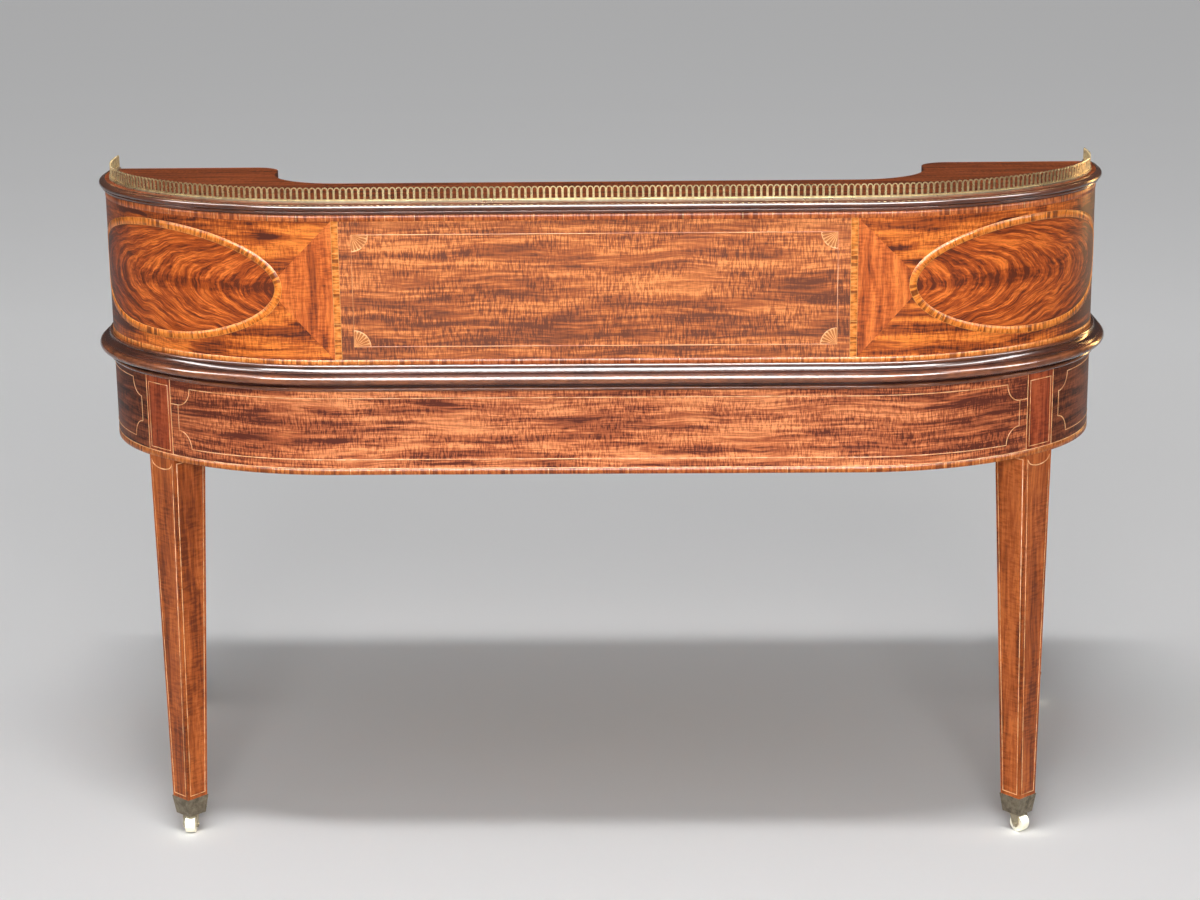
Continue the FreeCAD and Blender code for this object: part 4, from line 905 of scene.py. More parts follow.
@dataclass
class BodyPlan:
    """Outline of the desk in plan; run is the distance along its face from the middle of the back."""

    back_radius: float = 0.400
    side_radius: float = 0.290

    def __post_init__(self) -> None:
        """Work out the centres of the corner and the runs at which the outline changes."""
        self.half_width, self.back_y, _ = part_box("writing_board")[1]
        step = (self.back_radius - self.side_radius) * math.sqrt(0.5)
        side_x = self.half_width - self.side_radius
        self.back_centre = Vector((side_x - step, self.back_y - self.back_radius))
        self.side_centre = Vector((side_x, self.back_centre.y + step))
        self.straight_end = self.back_centre.x
        self.corner_split = self.straight_end + self.back_radius * math.pi / 4.0
        self.corner_end = self.corner_split + self.side_radius * math.pi / 4.0

    def frame_at(self, run: float) -> tuple[Vector, Vector]:
        """Point on the outline and the direction outwards there.

        Args:
            run: Distance along the face, positive towards +X.

        Returns:
            The point and the outward direction, both in plan.
        """
        size = abs(run)
        if size <= self.straight_end:
            point, out = Vector((size, self.back_y)), Vector((0.0, 1.0))
        elif size <= self.corner_end:
            if size <= self.corner_split:
                turn = math.pi / 2.0 - (size - self.straight_end) / self.back_radius
                centre, radius = self.back_centre, self.back_radius
            else:
                turn = math.pi / 4.0 - (size - self.corner_split) / self.side_radius
                centre, radius = self.side_centre, self.side_radius
            out = Vector((math.cos(turn), math.sin(turn)))
            point = centre + out * radius
        else:
            point = Vector((self.half_width, self.side_centre.y - (size - self.corner_end)))
            out = Vector((1.0, 0.0))
        if run < 0.0:
            point.x, out.x = -point.x, -out.x
        return point, out

    def normal(self, run: float) -> Vector:
        """Direction outwards at a run."""
        return self.frame_at(run)[1].to_3d()

    def at(self, run: float, level: float, lift: float = 0.0) -> Vector:
        """Point at a run and a height, lifted off the face."""
        point, out = self.frame_at(run)
        return (point + out * lift).to_3d() + Vector((0.0, 0.0, level))

    def run_at(self, y: float) -> float:
        """Run at which the straight side reaches a place along Y."""
        return self.corner_end + self.side_centre.y - y


PLAN = BodyPlan()

# How far sheets and lines stand off the body, the lines' size, and how deep a sheet's edges turn down
VENEER_LIFT = 0.0003
LINE_LIFT = 0.0005
LINE_WIDTH = 0.0011
LINE_THICKNESS = 0.0005
SKIRT = 0.0006

# Steps in which sheets and lines bend; a sheet's first cut lies just beyond the end of the straight
CURVE_STEP = 0.012
CURVE_OFFSET = 0.0002317
CUT_TOLERANCE = 1e-7


def new_object(name: str, data: bpy.types.ID) -> bpy.types.Object:
    """Put a mesh, a lamp or a camera into the scene.

    Args:
        name: Name of the object.
        data: What it holds.

    Returns:
        The object.
    """
    made = bpy.data.objects.new(name, data)
    bpy.context.scene.collection.objects.link(made)
    return made


def settle(piece: bpy.types.Object, body: str) -> bpy.types.Object:
    """Let a finished piece ride on its body.

    Args:
        piece: The finished piece.
        body: The CAD body that it moves with.

    Returns:
        The same piece.
    """
    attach(piece, body)
    log.info("%s: %d faces on %s", piece.name, len(piece.data.polygons), body)
    return piece


def cut_sheets(outlines: Iterable[Sequence[FlatPoint]]) -> bmesh.types.BMesh:
    """Cut sheets of veneer flat, divide them where they will bend, and turn their edges down.

    Args:
        outlines: Corners of each sheet as run and height.

    Returns:
        The sheets in the plane of run and height, their turned edges below it.
    """
    sheet = bmesh.new()
    for outline in outlines:
        sheet.faces.new([sheet.verts.new((run, level, 0.0)) for run, level in outline])
    reach = max(abs(vert.co.x) for vert in sheet.verts)
    cut = PLAN.straight_end + CURVE_OFFSET
    while cut < reach:
        for spot in (cut, -cut):
            everything = sheet.verts[:] + sheet.edges[:] + sheet.faces[:]
            bmesh.ops.bisect_plane(sheet, geom=everything, dist=CUT_TOLERANCE, plane_co=(spot, 0.0, 0.0),
                                   plane_no=(1.0, 0.0, 0.0))
        cut += CURVE_STEP
    bmesh.ops.triangulate(sheet, faces=sheet.faces[:])
    rim = [edge for edge in sheet.edges if edge.is_boundary]
    for edge in rim:
        edge.smooth = False
    for made in bmesh.ops.extrude_edge_only(sheet, edges=rim)["geom"]:
        if isinstance(made, bmesh.types.BMVert):
            made.co.z = -SKIRT
    return sheet


def bend_sheets(sheet: bmesh.types.BMesh, lift: float) -> None:
    """Bend flat sheets round the body, with run and height as their UV map.

    Args:
        sheet: The flat sheets.
        lift: How far their face stands off the body.
    """
    flat = sheet.loops.layers.uv.new("UVMap")
    for face in sheet.faces:
        face.smooth = True
        for loop in face.loops:
            loop[flat].uv = loop.vert.co.x, loop.vert.co.y
    top = next(face for face in sheet.faces if all(vert.co.z == 0.0 for vert in face.verts))
    out = PLAN.normal(top.calc_center_median().x)
    for vert in sheet.verts:
        vert.co = PLAN.at(vert.co.x, vert.co.y, lift + vert.co.z)
    bmesh.ops.recalc_face_normals(sheet, faces=sheet.faces)
    top.normal_update()
    if top.normal.dot(out) < 0.0:
        bmesh.ops.reverse_faces(sheet, faces=sheet.faces)


def lay_sheets(name: str, outlines: Iterable[Sequence[FlatPoint]], finish: Finish,
               lift: float = VENEER_LIFT) -> bpy.types.Object:
    """Lay sheets of veneer on the body.

    Args:
        name: Name of the piece.
        outlines: Corners of each sheet as run and height.
        finish: The veneer's finish.
        lift: How far the face stands off the body.

    Returns:
        The piece.
    """
    sheet = cut_sheets(outlines)
    bend_sheets(sheet, lift)
    mesh = bpy.data.meshes.new(name)
    sheet.to_mesh(mesh)
    sheet.free()
    mesh.materials.append(material_of(finish))
    return settle(new_object(name, mesh), ROOT_BODY)


@dataclass
class Path:
    """Line that an inlay follows: places, the direction off the surface at each, and whether it closes."""

    places: list[Vector]
    normals: list[Vector]
    closed: bool = False

    @classmethod
    def ring(cls, places: list[Vector], normal: Vector) -> "Path":
        """Closed line on a flat face."""
        return cls(places, [normal] * len(places), True)


def face_path(points: Sequence[FlatPoint], closed: bool = False, lift: float = LINE_LIFT) -> Path:
    """Path on the body's face through points of run and height, divided so that it bends with the body.

    Args:
        points: Corners of the line.
        closed: Whether the last corner joins the first.
        lift: How far the line stands off the face.

    Returns:
        The path.
    """
    ends = list(points) + (list(points[:1]) if closed else [])
    flat: list[FlatPoint] = []
    for (run, level), (next_run, next_level) in zip(ends, ends[1:]):
        steps = max(1, math.ceil(abs(next_run - run) / CURVE_STEP))
        for index in range(steps):
            share = index / steps
            flat.append((run + (next_run - run) * share, level + (next_level - level) * share))
    if not closed:
        flat.append(ends[-1])
    places = [PLAN.at(run, level, lift) for run, level in flat]
    return Path(places, [PLAN.normal(run) for run, _ in flat], closed)


def level_path(end: float, level: float) -> Path:
    """Level path round the body from end to end."""
    return face_path([(-end, level), (end, level)])


def path_mesh(name: str, paths: Iterable[Path]) -> bpy.types.Object:
    """Lay bare edges along some paths.

    Args:
        name: Name of the object.
        paths: The paths.

    Returns:
        The object, which carries the direction off the surface on its points.
    """
    places: list[Vector] = []
    normals: list[Vector] = []
    edges: list[tuple[int, int]] = []
    for path in paths:
        start = len(places)
        places += path.places
        normals += path.normals
        edges += [(index, index + 1) for index in range(start, len(places) - 1)]
        if path.closed:
            edges.append((len(places) - 1, start))
    mesh = bpy.data.meshes.new(name)
    mesh.from_pydata(places, edges, [])
    off = mesh.attributes.new("face_normal", "FLOAT_VECTOR", "POINT")
    off.data.foreach_set("vector", [part for normal in normals for part in normal])
    return new_object(name, mesh)


class GeometryTree(Graph):
    """Geometry Nodes tree with named inputs, made into a plain mesh by its modifier."""

    def __init__(self, name: str, inputs: Sequence[tuple[str, str]]) -> None:
        """Make an empty tree.

        Args:
            name: Name of the tree.
            inputs: Names and kinds of its inputs, besides the geometry and the material.
        """
        super().__init__(bpy.data.node_groups.new(name, "GeometryNodeTree"))
        shape = ("Geometry", "NodeSocketGeometry")
        for label, kind in (shape, *inputs, ("Material", MATERIAL)):
            self.tree.interface.new_socket(name=label, in_out="INPUT", socket_type=kind)
        self.tree.interface.new_socket(name=shape[0], in_out="OUTPUT", socket_type=shape[1])
        self.given = self.node("NodeGroupInput").outputs

    def named(self, name: str, kind: str) -> Socket:
        """Attribute of the geometry under a name."""
        return self.node("GeometryNodeInputNamedAttribute", {"Name": name}, data_type=kind).outputs[0]

    def stored(self, geometry: object, name: str, value: object) -> Socket:
        """Geometry that carries a number on its points under a name."""
        inputs = {"Geometry": geometry, "Name": name, "Value": value}
        return self.node("GeometryNodeStoreNamedAttribute", inputs, data_type="FLOAT").outputs[0]

    def shape_of(self, label: str) -> Socket:
        """Geometry of the object that an input names."""
        return self.node("GeometryNodeObjectInfo", {"Object": self.given[label]}).outputs["Geometry"]

    def turned(self, angles: object) -> Socket:
        """Rotation by three angles."""
        return self.node("FunctionNodeEulerToRotation", {0: angles}).outputs[0]

    def placed(self, points: object, shape: object, rotation: object) -> Socket:
        """A shape set on each point and turned there."""
        inputs = {"Points": points, "Instance": shape, "Rotation": rotation}
        return self.node("GeometryNodeInstanceOnPoints", inputs).outputs[0]

    def surface_curve(self) -> Socket:
        """The given edges as curves.

        Returns:
            Curves whose normal is the direction off the surface.
        """
        curve = self.node("GeometryNodeMeshToCurve", {"Mesh": self.given["Geometry"]}).outputs[0]
        inputs = {"Curve": curve, "Normal": self.named("face_normal", "FLOAT_VECTOR")}
        return self.node("GeometryNodeSetCurveNormal", inputs, mode="FREE").outputs[0]

    def close(self, geometry: object) -> None:
        """End the tree: realize the instances and set the material.

        Args:
            geometry: What the tree has made.
        """
        real = self.node("GeometryNodeRealizeInstances", {"Geometry": geometry}).outputs[0]
        done = self.node("GeometryNodeSetMaterial", {"Geometry": real, "Material": self.given["Material"]})
        self.node("NodeGroupOutput", {"Geometry": done.outputs[0]})

    def make(self, holder: bpy.types.Object, finish: Finish, values: dict) -> bpy.types.Object:
        """Run the tree on an object and keep the result as its plain mesh.

        Args:
            holder: Object whose mesh is the tree's geometry.
            finish: Finish of the result.
            values: The other inputs by name.

        Returns:
            The same object with the finished mesh and no modifier.
        """
        modifier = holder.modifiers.new("tree", "NODES")
        modifier.node_group = self.tree
        values = {**values, "Material": material_of(finish)}
        for item in self.tree.interface.items_tree:
            if item.in_out == "INPUT" and item.name in values:
                modifier[item.identifier] = values[item.name]
        graph = bpy.context.evaluated_depsgraph_get()
        mesh = bpy.data.meshes.new_from_object(holder.evaluated_get(graph), preserve_all_data_layers=True,
                                               depsgraph=graph)
        holder.modifiers.remove(modifier)
        rough = holder.data
        holder.data = mesh
        bpy.data.meshes.remove(rough)
        mesh.name = holder.name
        return holder


@cache
def strip_tree() -> GeometryTree:
    """Tree that lays a flat strip along paths on a surface.

    Returns:
        The tree; its strips carry the run along them and the place across them.
    """
    tree = GeometryTree("inlaid_strip", [("Width", FLOAT), ("Thickness", FLOAT)])
    length = tree.node("GeometryNodeSplineParameter").outputs["Length"]
    curve = tree.stored(tree.surface_curve(), "run", length)
    sizes = {"Width": tree.given["Thickness"], "Height": tree.given["Width"]}
    profile = tree.node("GeometryNodeCurvePrimitiveQuadrilateral", sizes).outputs[0]
    spot = tree.node("GeometryNodeInputPosition").outputs[0]
    profile = tree.stored(profile, "across", tree.parts(spot)[1])
    inputs = {"Curve": curve, "Profile Curve": profile, "Fill Caps": True}
    tree.close(tree.node("GeometryNodeCurveToMesh", inputs).outputs[0])
    return tree


def lay_strips(name: str, paths: Iterable[Path], width: float, finish: Finish, body: str = ROOT_BODY,
               thickness: float = LINE_THICKNESS) -> bpy.types.Object:
    """Lay strips of inlay along paths.

    Args:
        name: Name of the piece.
        paths: The paths of the strips' middles.
        width: Width of the strips.
        finish: Their finish.
        body: The CAD body that they ride on.
        thickness: Thickness of the strips.

    Returns:
        The piece.
    """
    values = {"Width": width, "Thickness": thickness}
    return settle(strip_tree().make(path_mesh(name, paths), finish, values), body)


def arc_points(centre: FlatPoint, reach: FlatPoint, start: float, end: float, count: int
               ) -> list[FlatPoint]:
    """Points along part of an ellipse, angles in degrees.

    Args:
        centre: Centre of the ellipse.
        reach: Its half axes.
        start: First angle.
        end: Last angle.
        count: Number of steps.

    Returns:
        The points, both ends included.
    """
    turns = [math.radians(start + (end - start) * index / count) for index in range(count + 1)]
    return [(centre[0] + reach[0] * math.cos(turn), centre[1] + reach[1] * math.sin(turn))
            for turn in turns]


def mirrored(points: Sequence[FlatPoint]) -> list[FlatPoint]:
    """The same points on the other end of the desk, in the opposite order."""
    return [(-run, level) for run, level in reversed(points)]


def both(points: Sequence[FlatPoint]) -> list[list[FlatPoint]]:
    """Points of one end, and their mirror image on the other."""
    return [list(points), mirrored(points)]


@cache
def fan_tree() -> GeometryTree:
    """Tree that spreads the petals of a quarter fan at each given corner.

    Returns:
        The tree, which turns each fan as its corner's point says.
    """
    tree = GeometryTree("quarter_fan", [("Petal", OBJECT), ("Petals", WHOLE)])
    step = tree.math("DIVIDE", math.pi / 2.0, tree.given["Petals"])
    index = tree.node("GeometryNodeInputIndex").outputs[0]
    spin = tree.turned(tree.vector(0.0, tree.times(tree.plus(index, 0.5), step), 0.0))
    points = tree.node("GeometryNodePoints", {"Count": tree.given["Petals"]}).outputs[0]
    fan = tree.placed(points, tree.shape_of("Petal"), spin)
    tree.close(tree.placed(tree.given["Geometry"], fan, tree.turned(tree.named("turn", "FLOAT_VECTOR"))))
    return tree


@dataclass
class CornerFans:
    """Quarter fans of boxwood in the corners of the back panel."""

    radius: float = 0.0225
    petals: int = 7
    fill: float = 0.74
    thickness: float = 0.0006
    sections: Sequence[FlatPoint] = ((0.08, 0.5), (0.45, 0.8), (0.78, 1.0), (0.92, 0.86), (1.0, 0.35))
    scorch: float = 0.75
    scorch_rise: int = 3
    rim_steps: int = 12

    def petal(self) -> bpy.types.Object:
        """One petal along +X in the plane X, Z, scorched towards its rounded tip.

        Returns:
            A holder of the petal's mesh.
        """
        half = math.tan(math.pi / 4.0 / self.petals) * self.fill
        rim = [(share * self.radius, share * self.radius * half * fill) for share, fill in self.sections]
        outline = rim + [(x, -z) for x, z in reversed(rim)]
        scorch = [min(1.0, abs(z) / (x * half) * (x / self.radius) ** self.scorch_rise) * self.scorch
                  for x, z in outline]
        count = len(outline)
        verts = [(x, y, z) for y in (self.thickness / 2.0, -self.thickness / 2.0) for x, z in outline]
        front = list(range(count))
        back = list(range(2 * count - 1, count - 1, -1))
        sides = [(i, i + count, (i + 1) % count + count, (i + 1) % count) for i in range(count)]
        mesh = bpy.data.meshes.new("fan_petal")
        mesh.from_pydata(verts, [], [front, back, *sides])
        mesh.attributes.new("scorch", "FLOAT", "POINT").data.foreach_set("value", scorch * 2)
        return new_object("fan_petal", mesh)

    def build(self, corners: dict[FlatPoint, int]) -> bpy.types.Object:
        """Lay a fan in each corner, opening towards the middle of the panel.

        Args:
            corners: Quarter turn at which each fan starts, by the run and height of its apex.

        Returns:
            The piece of all the fans.
        """
        mesh = bpy.data.meshes.new("panel_fans")
        mesh.from_pydata([PLAN.at(run, level, LINE_LIFT) for run, level in corners], [], [])
        turns = [(0.0, -(quarter + 1) * math.pi / 2.0, 0.0) for quarter in corners.values()]
        facing = mesh.attributes.new("turn", "FLOAT_VECTOR", "POINT")
        facing.data.foreach_set("vector", [part for turn in turns for part in turn])
        petal = self.petal()
        holder = new_object("panel_fans", mesh)
        piece = fan_tree().make(holder, FAN, {"Petal": petal, "Petals": self.petals})
        bpy.data.objects.remove(petal)
        return settle(piece, ROOT_BODY)

    def rims(self, corners: dict[FlatPoint, int], line: float) -> list[list[FlatPoint]]:
        """Round edges of the fans.

        Args:
            corners: Quarter turn at which each fan starts, by the run and height of its apex.
            line: Width of the line along the edge.

        Returns:
            Points of the line's middle round each fan.
        """
        reach = (self.radius + line / 2.0,) * 2
        return [arc_points(corner, reach, quarter * 90.0, quarter * 90.0 + 90.0, self.rim_steps)
                for corner, quarter in corners.items()]


@dataclass
class UpperCarcase:
    """Veneers and inlays of the upper carcase: back panel, oval ends, bands, fans and stringing."""

    band: float = BAND.width
    band_outer: float = 0.363
    low_band: float = WAIST_BAND.width
    top_band: float = TOP_BAND.width
    oval_centre: FlatPoint = (0.648, 0.8546)
    oval_reach: FlatPoint = (0.2132, 0.0846)
    oval_steps: int = 72
    ring: float = RING.width
    mitre: float = 12.0
    long_steps: int = 40
    short_steps: int = 12
    fan_run: float = 0.3355
    fan_levels: FlatPoint = (0.7725, 0.930)
    line: float = LINE_WIDTH
    wing_front_height: float = 0.044

    def __post_init__(self) -> None:
        """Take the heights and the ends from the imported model."""
        low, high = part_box("carcase_back")
        self.bottom, self.top = low.z, high.z
        self.panel_low = self.bottom + self.low_band
        self.panel_high = self.top - self.top_band
        self.outer_band = PLAN.corner_end - self.band
        self.wing_end = PLAN.run_at(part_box("wing_fronts")[0].y)
        self.top_end = PLAN.run_at(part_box("gallery")[0].y)

    def arc(self, start: float, end: float, count: int, inset: float = 0.0) -> list[FlatPoint]:
        """Points on part of the oval, drawn in by an inset.

        Args:
            start: First angle, in degrees.
            end: Last angle.
            count: Number of steps.
            inset: How far the oval is drawn in.

        Returns:
            The points, both ends included.
        """
        reach = (self.oval_reach[0] - inset, self.oval_reach[1] - inset)
        return arc_points(self.oval_centre, reach, start, end, count)

    def oval(self, inset: float) -> list[FlatPoint]:
        """Points round the whole oval, drawn in by an inset."""
        return self.arc(0.0, 360.0, self.oval_steps, inset)[:-1]

    def build_panel(self) -> None:
        """Lay the back panel, its upright bands, its fans and its stringing."""
        inner = self.band_outer - self.band
        levels = (self.panel_low, self.panel_high)
        lay_sheets("back_panel_veneer", [rectangle(-inner, inner, *levels)], FIDDLEBACK)
        spots = (self.band_outer - self.band / 2.0, self.outer_band + self.band / 2.0)
        paths = [face_path([(end * spot, level) for level in levels]) for spot in spots for end in ENDS]
        lay_strips("upright_bands", paths, self.band, BAND)
        low, high = self.fan_levels
        run = self.fan_run
        corners = {(run, low): 1, (-run, low): 0, (run, high): 2, (-run, high): 3}
        fans = CornerFans()
        fans.build(corners)
        stringing = face_path(rectangle(-run, run, low, high), True)
        lay_strips("panel_stringing", [stringing], self.line, FAINT_LINE)
        rims = fans.rims(corners, self.line)
        lay_strips("fan_rims", [face_path(rim) for rim in rims], self.line, BOXWOOD)
        grounds = [[corner, *rim] for corner, rim in zip(corners, rims)]
        lay_sheets("fan_grounds", grounds, FAN_GROUND, LINE_LIFT)

    def build_ovals(self) -> None:
        """Lay the oval sheets, their banded rings and the mitred sheets round them."""
        lay_sheets("oval_veneers", both(self.oval(self.ring)), FLAME)
        paths = [face_path(points, True) for points in both(self.oval(self.ring / 2.0))]
        lay_strips("oval_rings", paths, self.ring, RING)
        inner, outer = self.band_outer, self.outer_band
        low, high = self.panel_low, self.panel_high
        mitre, long, short = self.mitre, self.long_steps, self.short_steps
        upper = [(outer, high), (inner, high), *self.arc(180.0 - mitre, mitre, long)]
        lower = [(inner, low), (outer, low), *self.arc(360.0 - mitre, 180.0 + mitre, long)]
        lay_sheets("level_spandrels", both(upper) + both(lower), SPANDREL_WOOD)
        near = [(inner, high), (inner, low), *self.arc(180.0 + mitre, 180.0 - mitre, short)]
        far = [(outer, low), (outer, high), *self.arc(mitre, -mitre, short)]
        lay_sheets("upright_spandrels", both(near) + both(far), TRIANGLE_WOOD)

    def build_ends(self) -> None:
        """Lay the plain veneer of the sloping wings, and the bands along the bottom and the top."""
        start = PLAN.corner_end
        wing = [(start, self.panel_low), (self.wing_end, self.panel_low),
                (self.wing_end, self.bottom + self.wing_front_height), (self.top_end, self.top),
                (self.top_end, self.panel_high), (start, self.panel_high)]
        lay_sheets("wing_veneers", both(wing), SPANDREL_WOOD)
        low_path = level_path(self.wing_end, self.bottom + self.low_band / 2.0)
        lay_strips("carcase_low_band", [low_path], self.low_band, WAIST_BAND)
        top_path = level_path(self.top_end, self.top - self.top_band / 2.0)
        lay_strips("carcase_top_band", [top_path], self.top_band, TOP_BAND)

    def build(self) -> None:
        """Build the veneers and dress the boards behind them."""
        self.build_panel()
        self.build_ovals()
        self.build_ends()
        dress(INSIDE_WOOD, "carcase_back", "bank_shelf", "wing_fronts")
        dress(UPRIGHT_WOOD, "carcase_end_left", "carcase_end_right", "bank_uprights", "corner_door_left",
              "corner_door_right", "wing_bulkheads")
        dress(FORE_WOOD, "wing_inner_walls")
        dress(LID_WOOD, "wing_lid_left", "wing_lid_right")
        dress(TOP_WOOD, "top_boards")


@dataclass
class Frieze:
    """Veneers, low banding and stringing of the frieze round the back and sides."""

    low_band: float = LOW_BAND.width
    tuck: float = 0.002
    block_middle: float = 0.6604
    block_half: float = 0.0275
    block_inset: float = 0.0055
    line: float = LINE_WIDTH
    levels: FlatPoint = (0.610, 0.6985)
    hollow: FlatPoint = (0.0235, 0.0255)
    hollow_steps: int = 8
    panel_gap: float = 0.0155

    def __post_init__(self) -> None:
        """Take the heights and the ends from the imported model."""
        self.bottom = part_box("back_frieze")[0].z
        self.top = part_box("waist_moulding")[0].z + self.tuck
        self.low = self.bottom + self.low_band
        self.block = (self.block_middle - self.block_half, self.block_middle + self.block_half)
        self.side_end = PLAN.run_at(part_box("front_leg_right")[1].y)

    def notched(self, start: float, end: float) -> list[FlatPoint]:
        """Frame of stringing with hollow corners between two runs.

        Args:
            start: Run of its first upright.
            end: Run of its other upright.

        Returns:
            The corners of the closed line.
        """
        turns = (90.0, 180.0, 270.0, 0.0)
        return [point for corner, turn in zip(rectangle(start, end, *self.levels), turns)
                for point in arc_points(corner, self.hollow, turn, turn - 90.0, self.hollow_steps)]

    def lines(self) -> list[Path]:
        """Paths of all the frieze's stringing.

        Returns:
            Notched frames of the panels, frames and edges of the leg blocks, ticks and the long low line.
        """
        near, far = self.block
        edge, end = near - self.panel_gap, self.side_end - self.panel_gap
        frames = [self.notched(-edge, edge), *both(self.notched(far + self.panel_gap, end))]
        paths = [face_path(points, True) for points in frames]
        inset, high = self.block_inset, self.levels[1]
        block = rectangle(near + inset, far - inset, self.low + inset, high)
        tick = high - self.hollow[1]
        for side in ENDS:
            paths.append(face_path([(side * run, level) for run, level in block], True))
            paths.append(face_path([(side * edge, tick), (side * near, tick)]))
            for run in self.block:
                paths.append(face_path([(side * run, self.low), (side * run, self.top)]))
        paths.append(level_path(self.side_end, self.low + self.line / 2.0))
        return paths

    def build(self) -> None:
        """Build the veneers and lines and dress the boards behind them."""
        near, far = self.block
        levels = (self.low, self.top)
        lay_sheets("back_frieze_veneer", [rectangle(-near, near, *levels)], FRIEZE_WOOD)
        lay_sheets("side_frieze_veneers", both(rectangle(far, self.side_end, *levels)), SIDE_WOOD_AND_SHADE)
        lay_sheets("leg_block_veneers", both(rectangle(near, far, *levels)), BLOCK_WOOD)
        low_path = level_path(self.side_end, self.bottom + self.low_band / 2.0)
        lay_strips("frieze_low_band", [low_path], self.low_band, LOW_BAND)
        lay_strips("frieze_stringing", self.lines(), self.line, BOXWOOD)
        dress(INSIDE_WOOD, "back_frieze", "front_lower_rail", "front_upper_rail")
        dress(FORE_WOOD, "side_frieze_left", "side_frieze_right", "drawer_dividers")


@dataclass
class Legs:
    """Tapered legs with stringing on every face, and their castors."""

    foot_width: float = 0.036
    inset: float = 0.0046
    end_inset: float = 0.006
    line: float = 0.0015
    swag: float = 0.011
    swag_steps: int = 14
    facing: float = math.radians(48.0)

    def __post_init__(self) -> None:
        """Take the legs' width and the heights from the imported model."""
        low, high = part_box("front_leg_right")
        self.top_width = high.x - low.x
        self.top_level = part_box("back_frieze")[0].z
        self.foot_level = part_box("castor_cups")[1].z

    def corners(self, row: Row, end: int, width: float, level: float) -> list[Vector]:
        """Four corners of a leg's section, outer face first.

        Args:
            row: Row that the leg stands in.
            end: 1 for the sitter's right, -1 for the left.
            width: Width of the leg there.
            level: Height of the section.

        Returns:
            The corners in order round the leg.
        """
        half = width / 2.0
        if row is Row.REAR:
            local = [(0.0, -half), (0.0, half), (-width, half), (-width, -half)]
            out = Vector((math.cos(self.facing), math.sin(self.facing)))
            origin = PLAN.back_centre + out * PLAN.back_radius
        else:
            local = [(-width, 0.0), (0.0, 0.0), (0.0, width), (-width, width)]
            out = Vector((1.0, 0.0))
            origin = Vector((PLAN.half_width, -PLAN.back_y))
        across = Vector((-out.y, out.x))
        spots = [origin + out * x + across * y for x, y in local]
        return [Vector((end * spot.x, spot.y, level)) for spot in spots]

    def crest(self, first: Vector, last: Vector, down: Vector, swagged: bool) -> list[Vector]:
        """Top of a face's line.

        Args:
            first: Its first end.
            last: Its last end.
            down: Direction down the face.
            swagged: Whether it hangs in a swag.

        Returns:
            The points of the line.
        """
        if not swagged:
            return [first, last]
        shares = [index / self.swag_steps for index in range(self.swag_steps + 1)]
        drops = [math.sqrt(max(0.0, 1.0 - (2.0 * share - 1.0) ** 2)) * self.swag for share in shares]
        return [first.lerp(last, share) + down * drop for share, drop in zip(shares, drops)]

    def face_line(self, top: Sequence[Vector], foot: Sequence[Vector], axis: Vector, swagged: bool) -> Path:
        """Closed line inset on one face of a leg.

        Args:
            top: The face's two upper corners.
            foot: Its two lower corners.
            axis: A point in the middle of the leg.
            swagged: Whether the top of the line hangs in a swag.

        Returns:
            The path.
        """
        across = (top[1] - top[0]).normalized()
        down = (foot[0] + foot[1] - top[0] - top[1]).normalized()
        out = across.cross(down).normalized()
        if out.dot(middle((*top, *foot)) - axis) < 0.0:
            out.negate()
        insets = (across * self.inset, across * -self.inset)
        upper = [spot + inset + down * self.end_inset for spot, inset in zip(top, insets)]
        lower = [spot + inset - down * self.end_inset for spot, inset in zip(foot, insets)]
        line = [*self.crest(*upper, down, swagged), lower[1], lower[0]]
        return Path.ring([spot + out * LINE_LIFT for spot in line], out)

    def build(self) -> None:
        """Build the stringing of the four legs and dress legs and castors."""
        paths = []
        for row in Row:
            swagged = (0,) if row is Row.REAR else (0, 1)
            for end in ENDS:
                top = self.corners(row, end, self.top_width, self.top_level)
                foot = self.corners(row, end, self.foot_width, self.foot_level)
                axis = middle((*top, *foot))
                for index in range(4):
                    pair = (index, (index + 1) % 4)
                    face = ([top[i] for i in pair], [foot[i] for i in pair])
                    paths.append(self.face_line(*face, axis, index in swagged))
        lay_strips("leg_stringing", paths, self.line, BOXWOOD)
        dress(CUP_BRASS, "castor_cups")
        for row in Row:
            for hand in HANDS:
                dress(LEG_WOOD, f"{row.value}_leg_{hand}")
                dress(RAIL_BRASS, f"castor_fork_{row.value}_{hand}")
                dress(WHEEL_BRASS, f"castor_wheel_{row.value}_{hand}")


@cache
def arch_tree() -> GeometryTree:
    """Tree that sets one arch after another along a path.

    Returns:
        The tree, which fits a whole number of arches to the path.
    """
    tree = GeometryTree("gallery_arches", [("Arch", OBJECT), ("Pitch", FLOAT)])
    curve = tree.surface_curve()
    length = tree.node("GeometryNodeCurveLength", {0: curve}).outputs[0]
    count = tree.plus(tree.math("ROUND", tree.math("DIVIDE", length, tree.given["Pitch"])), 1.0)
    spots = tree.node("GeometryNodeCurveToPoints", {"Curve": curve, "Count": count}, mode="COUNT").outputs
    axes = {"Primary Axis": spots["Tangent"], "Secondary Axis": spots["Normal"]}
    facing = tree.node("FunctionNodeAxesToRotation", axes, primary_axis="X", secondary_axis="Y").outputs[0]
    tree.close(tree.placed(spots["Points"], tree.shape_of("Arch"), facing))
    return tree


